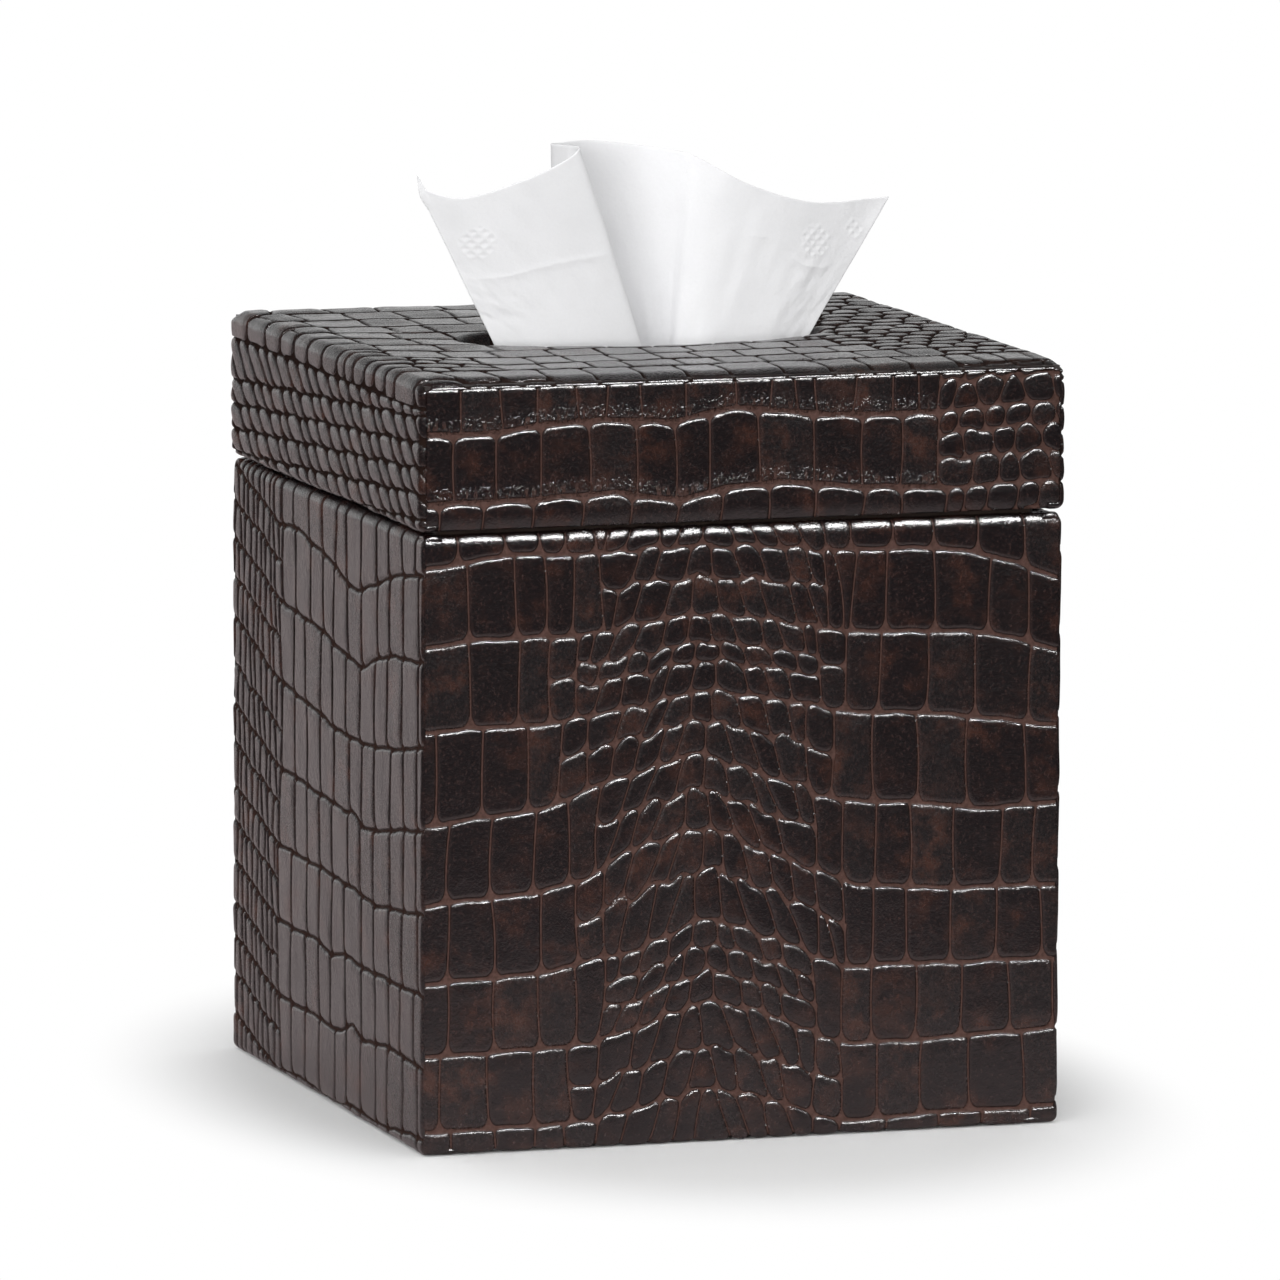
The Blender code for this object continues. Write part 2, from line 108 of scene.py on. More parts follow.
def wobble(rng, amplitude, waves=((23.0, 0.45), (11.0, 0.33), (5.5, 0.22))):
    return amplitude * sum(share * np.sin(TURN * TABLE / length + rng.uniform(0, TURN))
                           for length, share in waves)


def soften(values, reach):
    step = TABLE[1] - TABLE[0]
    half = int(round(3 * reach / step))
    kernel = np.exp(-0.5 * (np.arange(-half, half + 1) * step / reach) ** 2)
    padded = np.concatenate([np.full(half, values[0]), values, np.full(half, values[-1])])
    return np.convolve(padded, kernel / kernel.sum(), mode="valid")


def row_line(points, rng, amplitude=0.35, reach=1.6):
    return soften(np.interp(TABLE, *zip(*points)), reach) + wobble(rng, amplitude)


def level(left, right=None):
    """The points of a nearly level line that runs out past both edges of a sheet."""
    return [(-OUTER, left), (OUTER, left if right is None else right)]


class Divider:
    """A short, nearly straight groove across a strip, by its middle, its lean and its bow."""

    def __init__(self, u, v, lean, bow):
        self.u, self.v, self.lean, self.bow = u, v, lean, bow

    def at(self, v):
        t = (v - self.v) / 8.0
        return self.u + self.lean * (v - self.v) + self.bow * (t * t - 0.3)


# A run of scales between two row lines. swap turns it to run along v.
Strip = namedtuple("Strip", "top bottom top_half bottom_half left right dividers kind cells swap")

# How one kind of scale is shaped: half the floor of the grooves between neighbours, the upper
# and lower corners' radii, how far the middle stands above the rim and over what reach, how much
# lower the top edge is at its ends, how gently the lower edge falls away (one is as steep), half
# the floor of the groove along a row, the end with short wrinkles, and how far the sides lean.
Kind = namedtuple("Kind", "divider top_corner bottom_corner crown reach arch fall row_half "
                          "creased slant", defaults=("", 0.0))
KINDS = {
    "tile": Kind(0.13, 0.6, 1.7, 0.20, 3.4, 0.18, 0.6, 0.25, "top"),
    "plain": Kind(0.03, 0.8, 1.0, 0.05, 2.4, 0.1, 0.6, 0.06),
    "arch": Kind(0.12, 1.3, 0.3, 0.18, 3.0, 0.55, 0.8, 0.42, "bottom"),
    "tall": Kind(0.05, 1.0, 1.4, 0.20, 2.0, 0.25, 0.6, 0.16, "top"),
    "gathered": Kind(0.03, 0.8, 0.8, 0.05, 2.4, 0.1, 0.6, 0.06, "bottom"),
    "lobe": Kind(0.04, 2.6, 2.6, 0.26, 2.6, 0.0, 0.8, 0.05),
    "medium": Kind(0.11, 1.3, 1.9, 0.30, 2.2, 0.26, 0.9, 0.05),
    "small": Kind(0.09, 1.2, 1.6, 0.30, 2.0, 0.26, 0.95, 0.02),
    "slender": Kind(0.05, 1.2, 1.2, 0.28, 1.6, 0.3, 0.8, 0.05),
    "round": Kind(0.07, 1.5, 1.6, 0.28, 2.2, 0.50, 0.85, 0.05),
    "leaning": Kind(0.01, 1.7, 1.7, 0.36, 2.2, 0.30, 0.9, 0.00, "", 1.1),
    "scale": Kind(0.05, 2.0, 2.1, 0.10, 2.0, 0.60, 0.8, 0.05),
}
LONG = ("tile", "plain", "gathered", "arch", "tall")
LOOSE = ("round", "small")
LOOSE_WAVES = ((11.0, 0.4), (6.3, 0.4), (4.1, 0.2))


def spread(start, end, width, rng, phase=None):
    """Positions of dividers about one width apart between two ends, none close to an end."""
    count = max(1, int(round((end - start) / width)))
    step = (end - start) / count
    shift = 0.0 if phase is None else (phase - 0.5) * step
    marks = []
    for i in range(1, count + (1 if shift < 0 else 0)):
        at = start + step * i + shift + rng.uniform(-0.16, 0.16) * step
        if start + 0.45 * step < at < end - 0.45 * step:
            marks.append(at)
    return marks


def fill_band(strips, top, bottom, top_half, bottom_half, zones, rng, swap=False, fan=None):
    """zones, from left to right: (kind, left end, right end, rows in the band, width or marks).

    fan is the place that the small scales' sides spread out from, and by how much.
    """
    edges = {}

    def edge_at(u):
        if u not in edges:
            middle = float(np.interp(u, TABLE, (top + bottom) / 2))
            edges[u] = Divider(u, middle, rng.uniform(-0.10, 0.10), rng.uniform(-0.7, 0.7))
        return edges[u]

    for name, left, right, rows, width in zones:
        kind, is_long = KINDS[name], name in LONG
        lines = [bottom]
        for share in np.linspace(0.0, 1.0, rows + 1)[1:-1]:
            drift = rng.uniform(-0.05, 0.05)
            if name in LOOSE:
                drift = (2.0 * drift + wobble(rng, 0.075, LOOSE_WAVES)) * (1.7 / rows)
            else:
                drift = drift + wobble(rng, 0.035)
            lines.append(bottom + (top - bottom) * (share + drift))
        lines.append(top)
        thin = np.full_like(TABLE, kind.row_half)
        lean = 0.05 if is_long else 0.40 if name == "round" else 0.16
        bow = 0.5 if is_long else 0.9
        for i, (low, high) in enumerate(zip(lines, lines[1:])):
            marks = width
            if not isinstance(width, list):
                phase = None if is_long else (i % 2) * 0.5 + rng.uniform(0.0, 0.5)
                marks = spread(left, right, width, rng, phase)
            dividers = []
            for mark in marks:
                tilt = rng.uniform(-lean, lean) + kind.slant
                if fan and not is_long:
                    tilt += fan[1] * math.tanh((fan[0] - mark) / 5.0)
                middle = float(np.interp(mark, TABLE, (low + high) / 2))
                dividers.append(Divider(mark, middle, tilt, rng.uniform(-bow, bow)))
            # one more is drawn for the cells than they need
            strips.append(Strip(
                high, low, top_half if i == rows - 1 else thin, bottom_half if i == 0 else thin,
                edge_at(left), edge_at(right), dividers, kind,
                rng.uniform(0.0, 1.0, len(dividers) + 2), swap))


def half_widths(*bands):
    """Half the width of a row groove's floor along it, wide only beside tiles."""
    half = np.full_like(TABLE, 0.12)
    for kind, left, right, _, _ in (zone for zones in bands for zone in zones):
        inside = (TABLE >= left) & (TABLE <= right)
        half[inside] = np.maximum(half[inside], KINDS[kind].row_half)
    return soften(half, 1.2)


def fill_panel(lines, bands, rng, fan=None):
    """Row lines from the top down, and the zones of each band between two of them."""
    strips = []
    halves = [half_widths(bands[0])] + [half_widths(*pair) for pair in zip(bands, bands[1:])]
    halves.append(half_widths(bands[-1]))
    for i, zones in enumerate(bands):
        fill_band(strips, *lines[i:i + 2], *halves[i:i + 2], zones, rng, fan=fan)
    return strips


def fading(x, length):
    return np.exp(-np.clip(x, 0, None) / length)


def relief(strips, u, v):
    """Height, distance in from the groove, cell shade and closeness to a creased end."""
    height, inward = np.full(u.shape, -DEPTH_ROW), np.full(u.shape, -0.5)
    shade, crease = np.full(u.shape, 0.5), np.zeros(u.shape)
    for strip in strips:
        kind = strip.kind
        x, y = (v, u) if strip.swap else (u, v)
        low_x, high_x = strip.left.u - 4.0, strip.right.u + 4.0
        window = (TABLE >= low_x) & (TABLE <= high_x)
        index = np.nonzero((x > low_x) & (x < high_x) & (y < strip.top[window].max() + 0.1)
                           & (y > strip.bottom[window].min() - 0.1))[0]
        xs, ys = x[index], y[index]
        top, bottom = np.interp(xs, TABLE, strip.top), np.interp(xs, TABLE, strip.bottom)
        left, right = strip.left.at(ys), strip.right.at(ys)
        keep = (ys <= top) & (ys > bottom) & (xs > left) & (xs <= right)
        if not keep.any():
            continue
        index, xs, ys, top, bottom, left, right = (
            values[keep] for values in (index, xs, ys, top, bottom, left, right))
        column = np.zeros(len(index), int)
        for divider in strip.dividers:
            at = divider.at(ys)
            column += at <= xs
            left = np.where((at <= xs) & (at > left), at, left)
            right = np.where((at > xs) & (at < right), at, right)

        def across_row(gap, line, half):
            slope = np.interp(xs, TABLE, np.gradient(line, TABLE))
            half = np.interp(xs, TABLE, half)
            return gap / np.sqrt(1 + slope ** 2) - half, half

        up, half_top = across_row(top - ys, strip.top, strip.top_half)
        down, half_bottom = across_row(ys - bottom, strip.bottom, strip.bottom_half)
        middle = np.clip((2 * xs - left - right) / np.maximum(right - left, 1.0), -1, 1)
        up -= kind.arch * middle ** 2
        side = np.minimum(xs - left, right - xs) / math.hypot(1.0, kind.slant) - kind.divider
        room = 0.5 * np.minimum(right - left - 2 * kind.divider, up + down)
        low = down * kind.fall
        distance = np.minimum(np.minimum(up, low), side)
        for edge, corner in ((up, kind.top_corner), (low, kind.bottom_corner)):
            radius = np.minimum(corner, np.maximum(room, 0.3))
            turned = radius - np.hypot(radius - edge, radius - side)
            distance = np.where((edge < radius) & (side < radius),
                                np.minimum(distance, turned), distance)
        near_row, near_side = fading(np.minimum(up, down), 0.7), fading(side, 0.7)
        thick = np.where(up < down, half_top, half_bottom)
        row_depth = DEPTH_DIVIDER + (DEPTH_ROW - DEPTH_DIVIDER) * smooth((thick - 0.2) / 0.35)
        depth = (row_depth * near_row + DEPTH_DIVIDER * near_side) / (near_row + near_side)
        rise = kind.crown * (1 - (1 - np.clip(distance / kind.reach, 0, 1)) ** 2)
        cell = strip.cells[column]
        # no two scales lie quite level
        tilt = TILT_ACROSS * (cell - 0.5) * middle
        tilt += TILT_UP * np.sin(37.0 * cell) * (up - down) / np.maximum(up + down, 1.0)
        rise += 0.35 * tilt * smooth(distance / kind.reach)
        height[index] = rise - depth * (1 - smooth(distance / WALL))
        inward[index] = distance
        shade[index] = cell
        if kind.creased == "top":
            crease[index] = 0.2 * fading(up - 0.8, 3.0)
        elif kind.creased == "bottom":
            crease[index] = fading(down, 1.8)
    return height, inward, shade, crease


def move_to(values, samples, grid, rows):
    """Moves the nearest grid point of each row onto a line, by less than half the spacing."""
    index = np.clip(np.searchsorted(samples, values), 1, len(samples) - 1)
    index -= values - samples[index - 1] < samples[index] - values
    spacing = np.gradient(samples)[index]
    shift = values - samples[index]
    good = np.abs(shift) <= SNAP_REACH * spacing
    shift = np.clip(shift, -SNAP_MOST * spacing, SNAP_MOST * spacing)
    grid[rows[good], index[good]] = (samples[index] + shift)[good]


def snap_grid(strips, us, vs):
    """A grid whose nearest points are moved onto the grooves, so that thin grooves stay whole."""
    grid_u, grid_v = np.meshgrid(us, vs)
    for strip in strips:
        xs, ys, grid_x, grid_y = us, vs, grid_u, grid_v
        if strip.swap:
            xs, ys, grid_x, grid_y = vs, us, grid_v.T, grid_u.T
        for divider in [strip.left, strip.right] + strip.dividers:
            low, high = (np.interp(divider.u, TABLE, line) for line in (strip.bottom, strip.top))
            picked = np.nonzero((ys < high) & (ys > low))[0]
            if xs[0] < divider.u < xs[-1]:
                move_to(divider.at(ys[picked]), xs, grid_x, picked)
        picked = np.nonzero((xs > strip.left.u) & (xs < strip.right.u))[0]
        for line, half, sign in ((strip.top, strip.top_half, -1),
                                 (strip.bottom, strip.bottom_half, 1)):
            base = np.interp(xs[picked], TABLE, line)
            width = np.interp(xs[picked], TABLE, half)
            wide = width > WIDE
            for offset in (0.0, WALL):
                value = base + sign * (width + offset)
                move_to(value[wide], ys, grid_y.T, picked[wide])
            move_to(base[~wide], ys, grid_y.T, picked[~wide])
    for side in (0, -1):
        grid_u[:, side], grid_v[:, side] = us[side], vs
        grid_u[side], grid_v[side] = us, vs[side]
    return grid_u, grid_v


# ---------------------------------------------------------------- meshes

def linked(name, data):
    obj = bpy.data.objects.new(name, data)
    bpy.context.scene.collection.objects.link(obj)
    return obj


def make_mesh(name, points, faces, attributes=(), uv=None):
    """An object from points in millimetres, smooth and with its faces turned outwards."""
    mesh = bpy.data.meshes.new(name)
    mesh.from_pydata((points * MM).tolist(), [], faces)
    for key, values in dict(attributes).items():
        layer = mesh.attributes.new(key, "FLOAT", "POINT")
        layer.data.foreach_set("value", values.astype(np.float32))
    if uv is not None:
        corners = np.zeros(len(mesh.loops), np.int32)
        mesh.loops.foreach_get("vertex_index", corners)
        layer = mesh.uv_layers.new(name="OFBake", do_init=False)
        layer.data.foreach_set("uv", uv[corners].astype(np.float32).ravel())
    mesh.shade_smooth()
    mesh.validate()
    mesh.update()
    turned = bmesh.new()
    turned.from_mesh(mesh)
    bmesh.ops.recalc_face_normals(turned, faces=turned.faces)
    if turned.calc_volume(signed=True) < 0:
        bmesh.ops.reverse_faces(turned, faces=turned.faces)
    turned.to_mesh(mesh)
    turned.free()
    return linked(name, mesh)


def fit(obj, body, slot, material, *nodes):
    """Gives a piece its material, and its place among the CAD's nodes and bodies."""
    obj.data.materials.append(material)
    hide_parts(*nodes)
    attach(obj, body)
    return obj


def cells_of(index):
    """The four corners of each cell of a grid."""
    return np.stack([index[:-1, :-1], index[:-1, 1:], index[1:, 1:], index[1:, :-1]], axis=-1)


def grid_faces(index):
    return cells_of(index).reshape(-1, 4).tolist()


def joined(index):
    """A grid whose last column meets its first."""
    return np.hstack([index, index[:, :1]])


def numbered(rows, columns, first=0):
    return first + np.arange(rows * columns).reshape(rows, columns)


def rim_indices(index):
    """The grid's outline, once round."""
    return np.concatenate([index[0, :-1], index[:-1, -1], index[-1, :0:-1], index[:0:-1, 0]])


def unit(vectors):
    return vectors / np.linalg.norm(vectors, axis=-1, keepdims=True)


# ---------------------------------------------------------------- leather surfaces

class Folded:
    """A section that runs straight along a length and turns over with a radius at each end.

    The developed coordinate is the length itself on the straight part. Turn is the straight run
    after the arc, and angle is how far round the arc goes.
    """

    def __init__(self, low, high, radius_low, radius_high, turn_low=0.0, turn_high=0.0,
                 angle=RIGHT_ANGLE, angle_low=None):
        angle_low = angle_low or angle
        self.start = low + radius_low * math.sin(angle_low) + turn_low * math.cos(angle_low)
        self.end = high - radius_high
        self.turns = turn_low, turn_high
        self.arcs = radius_low * angle_low, radius_high * angle
        self.sides = ((-1, self.start, radius_low, angle_low), (1, self.end, radius_high, angle))
        self.knots = self.start - self.arcs[0], self.start, self.end, self.end + self.arcs[1]

    def at(self, p):
        """Position along, depth in from the face, and the normal's parts outwards and along."""
        along = np.clip(p, self.start, self.end)
        depth, out, lean = np.zeros_like(p), np.ones_like(p), np.zeros_like(p)
        for sign, start, radius, angle in self.sides:
            over = sign * (p - start)
            turned = np.clip(over / (radius * angle), 0, 1) * angle
            rest = np.clip(over - radius * angle, 0, None)
            along = along + sign * (radius * np.sin(turned) + rest * np.cos(angle))
            depth = depth + radius * (1 - np.cos(turned)) + rest * np.sin(angle)
            out, lean = out * np.cos(turned), lean + sign * np.sin(turned)
        return along, depth, out, lean

    def samples(self, pitch):
        turns = [steps(turn, TURNED_PITCH) for turn in self.turns]
        arcs = [steps(arc, pitch * ARC_SHARE, 3) for arc in self.arcs]
        knots = (self.knots[0] - self.turns[0], *self.knots, self.knots[-1] + self.turns[1])
        straight = steps(self.end - self.start, pitch)
        return divided(knots, (turns[0], arcs[0], straight, arcs[1], turns[1]))

    def marks(self):
        """A few developed positions that the plain underside needs to follow the section."""
        marks = list(divided(self.knots, (3, 7, 3))[1:-1])
        if self.turns[0]:
            marks.insert(0, self.knots[0] - self.turns[0] / 2)
        if self.turns[1]:
            marks.append(self.knots[-1] + self.turns[1] / 2)
        return marks


def fine_noise(u, v, seed):
    """A slow unevenness of the leather, so that no surface is perfectly flat."""
    rng = np.random.default_rng(seed)
    total = np.zeros_like(u)
    for length, share in ((31.0, 0.5), (17.0, 0.3), (8.0, 0.2)):
        angle, phase, other = rng.uniform(0, TURN, 3)
        a = u * math.cos(angle) + v * math.sin(angle)
        b = v * math.cos(angle) - u * math.sin(angle)
        total += share * np.sin(TURN * a / length + phase) * np.sin(TURN * b / length + other)
    return total


def wrinkles(u, v, crease, seed):
    """Short puckers along the creased end of a tile, some longer than others."""
    rng = np.random.default_rng(seed + 77)
    total = np.zeros_like(u)
    for length in (1.5, 2.1, 3.3):
        bend = 0.5 * np.sin(TURN * v / 4.3 + rng.uniform(0, TURN))
        total += np.sin(TURN * (u + bend) / length + rng.uniform(0, TURN))
    first, second = rng.uniform(0, TURN, 2)
    patch = 0.5 + 0.5 * np.sin(TURN * u / 13.0 + first) * np.sin(TURN * v / 9.0 + second)
    return -PUCKER * crease * (0.35 + 0.65 * patch) * np.clip(total, 0, None)


def leather_height(strips, u, v, seed, fade):
    """The relief's height, and how far in from a groove, in which shade and how creased it is."""
    height, inward, shade, crease = relief(strips, u, v)
    height += UNEVEN * fine_noise(u, v, seed) + wrinkles(u, v, crease, seed)
    return height * fade, (inward, shade, crease)


def rim_gap(u, v, low, high):
    """The distance of points from the nearest edge of a rectangle."""
    return np.minimum(np.minimum(u - low[0], high[0] - u), np.minimum(v - low[1], high[1] - v))


def faded(u, v, us, vs):
    """One over the sheet and zero at its cut ends."""
    return smooth((rim_gap(u, v, (us[0], vs[0]), (us[-1], vs[-1])) + 0.1) / 0.35)


def close_sheet(name, points, faces, uv, loops, surface, inner_uv, values, opening=None,
                bite=1.0, dim=0.0):
    """Gives a leather sheet its cut edges and its plain underside.

    loops are the outlines of the outer surface as vertex indices, uv the developed coordinates.
    surface(u, v, depth) gives points under the face, inner_uv are the underside's own points, and
    opening(point) says where it has a hole. bite is how crisp the scales' shoulders are, and dim
    how much painted shade darkens and widens the grooves.
    """
    flat, edges = [], []
    for loop in loops:
        start, count = len(flat), len(loop)
        flat += [tuple(uv[k]) for k in loop]
        edges += [(start + i, start + (i + 1) % count) for i in range(count)]
    border = len(flat)
    vectors = [Vector(p) for p in flat + list(inner_uv)]
    found, _, triangles, origin, _, _ = geometry.delaunay_2d_cdt(vectors, edges, [], 0, 1e-7)
    found = np.array([list(p) for p in found])
    depths = np.array([SKIVED if o and o[0] < border else LEATHER for o in origin])
    base, extra = len(points), len(found)
    points = np.vstack([points, surface(found[:, 0], found[:, 1], depths)])
    slot = {k: base + i for i, group in enumerate(origin) for k in group}
    for triangle in triangles:
        if opening is None or not opening(found[list(triangle)].mean(axis=0)):
            faces.append([base + k for k in triangle[::-1]])
    outline = [int(k) for loop in loops for k in loop]
    faces += [[outline[j], outline[i], slot[i], slot[j]] for i, j in edges]
    low, high = uv.min(axis=0), uv.max(axis=0)
    outer = (uv - low) / (high - low) * (0.99, 0.93) + (0.005, 0.065)
    inner = (found - low) / (high - low) * (0.99, 0.045) + (0.005, 0.005)
    inward, shade, crease = values
    attributes = {
        key: np.concatenate([np.zeros(len(uv)) + value, np.full(extra, underneath)])
        for key, value, underneath in (
            ("edge", inward, -0.5), ("shade", shade, 0.5), ("crease", crease, 0.0),
            ("bite", bite, 0.0), ("dim", dim, np.max(dim)))}
    return make_mesh(name, points, faces, attributes, np.vstack([outer, inner]))


def side_panel(name, strips, face, way, upright, across, seed, pitch, dim=0.0):
    """A leather sheet over one upright side: upright is its section in height, across in width."""
    along_u, outward = np.array(way, float)

    def surface(u, v, height):
        x, depth_x, out_x, side_x = across.at(u)
        z, depth_z, out_z, side_z = upright.at(v)
        out = face - depth_z - depth_x * out_z + out_x * out_z * height
        points = np.outer(x + side_x * out_z * height, along_u) + np.outer(out, outward)
        points[:, 2] = z - depth_x * side_z + side_z * height
        return points

    us, vs = across.samples(pitch), upright.samples(pitch)
    grid_u, grid_v = snap_grid(strips, us, vs)
    index = numbered(*grid_u.shape)
    u, v = grid_u.ravel(), grid_v.ravel()
    height, values = leather_height(strips, u, v, seed, faded(u, v, us, vs))
    inner = [(a, b) for a in across.marks() for b in upright.marks()]
    return close_sheet(
        name, surface(u, v, height), grid_faces(index), np.stack([u, v], axis=1),
        [rim_indices(index)], lambda a, b, depth: surface(a, b, -depth), inner, values, dim=dim)


class Wrap:
    """The lid's sheet: up one side, over the top and down the other, rolled into the opening.

    s is the developed distance across from the middle and t the one from front to back. bend and
    hem are radii at the top edges and at the lower ones. A roll is a radius and how far round it
    goes, along the front and back of the top and of the sides.
    """

    def __init__(self, half_x, low, top, bend, hem, half_y, top_roll, side_roll, size, mouth):
        self.top, self.bend, self.hem = top, bend, hem
        self.top_roll, self.side_roll = top_roll, side_roll
        self.half, self.mouth = (size[0] / 2, size[1] / 2), mouth
        self.flat = half_x - bend
        self.arc, self.hem_arc = bend * RIGHT_ANGLE, hem * RIGHT_ANGLE
        self.side = top - bend - low - hem
        self.knots = np.cumsum([0.0, self.flat, self.arc, self.side, self.hem_arc, 2.0])
        radius, angle = top_roll
        self.end = half_y + radius * (angle - math.sin(angle))

    def section(self, s):
        """Position and outward normal of the section at a developed distance from the middle."""
        over = np.abs(s) - self.flat
        beyond = over - self.arc - self.side
        bend = np.clip(over / self.bend, 0, RIGHT_ANGLE)
        hem = np.clip(beyond / self.hem, 0, RIGHT_ANGLE)
        x = np.minimum(np.abs(s), self.flat) + self.bend * np.sin(bend)
        x -= self.hem * (1 - np.cos(hem)) + np.clip(beyond - self.hem_arc, 0, None)
        z = self.top - self.bend * (1 - np.cos(bend)) - np.clip(over - self.arc, 0, self.side)
        z -= self.hem * np.sin(hem)
        sign = np.where(s < 0, -1.0, 1.0)
        return sign * x, z, sign * np.sin(bend) * np.cos(hem), np.cos(bend) - np.sin(hem)

    def edge(self, s, t):
        """Place, depth and normal front to back: rolled softly on top, tightly at the sides."""
        share = smooth((np.abs(s) - self.flat) / self.arc)
        radius, angle = (a + (b - a) * share for a, b in zip(self.top_roll, self.side_roll))
        sign = np.where(t < 0, -1.0, 1.0)
        start = self.end - radius * angle
        turned = np.minimum(np.clip(np.abs(t) - start, 0, None) / radius, angle)
        y = np.minimum(np.abs(t), start) + radius * np.sin(turned)
        return sign * y, radius * (1 - np.cos(turned)), np.cos(turned), sign * np.sin(turned)

    def surface(self, s, t, height):
        x, z, nx, nz = self.section(s)
        y, depth, out, along = self.edge(s, t)
        lift = out * height - depth
        return np.stack([x + nx * lift, y + along * height, z + nz * lift], axis=1)

    def oval(self, theta):
        """A point on the opening's edge, with the normal there."""
        cos, sin = np.cos(theta), np.sin(theta)
        nx, ny = self.half[1] * cos, self.half[0] * sin
        size = np.hypot(nx, ny)
        return self.half[0] * cos, self.half[1] * sin, nx / size, ny / size

    def opening_ring(self, theta, inward, height):
        """Points on the sheet that rolls into the opening, inward from where the roll starts."""
        x, y, nx, ny = self.oval(theta)
        angle = np.clip(inward / self.mouth, 0, RIGHT_ANGLE)
        drop = np.clip(inward - self.mouth * RIGHT_ANGLE, 0, None)
        z = self.top - self.mouth * (1 - np.cos(angle)) - drop + np.cos(angle) * height
        shift = self.mouth - self.mouth * np.sin(angle) - np.sin(angle) * height
        return np.stack([x + nx * shift, y + ny * shift, z], axis=-1)

    def developed(self, theta, inward):
        x, y, nx, ny = self.oval(theta)
        return x + nx * (self.mouth - inward), y + ny * (self.mouth - inward)

    def opening_place(self, a, b):
        """The angle and inward distance whose developed point is this one."""
        half_x, half_y = self.half
        angle = math.atan2(b / half_y, a / half_x)
        for _ in range(12):
            x, y, nx, ny = self.oval(angle)
            out = (a - x) * nx + (b - y) * ny
            tx, ty = -half_x * math.sin(angle), half_y * math.cos(angle)
            side = (a - x - out * nx) * tx + (b - y - out * ny) * ty
            angle += 0.8 * side / (tx * tx + ty * ty)
        return angle, self.mouth - out

    def samples(self, pitch):
        arc = pitch * ARC_SHARE
        counts = [steps(length, step, 2) for length, step in zip(
            np.diff(self.knots), (pitch, arc, pitch, arc, TURNED_PITCH))]
        half = divided(self.knots, counts)
        return np.concatenate([-half[:0:-1], half])

    def marks(self):
        """A few places across and from front to back that the underside needs to follow."""
        half = divided([8.0, *self.knots[1:]], (5, 4, 3, 4, 2))[:-1]
        side = np.linspace(self.end - 6.0, self.end, 6)[:-1]
        return ([*-half[::-1], 0.0, *half],
                [*-side[::-1], *np.linspace(-50, 50, 9), *side])


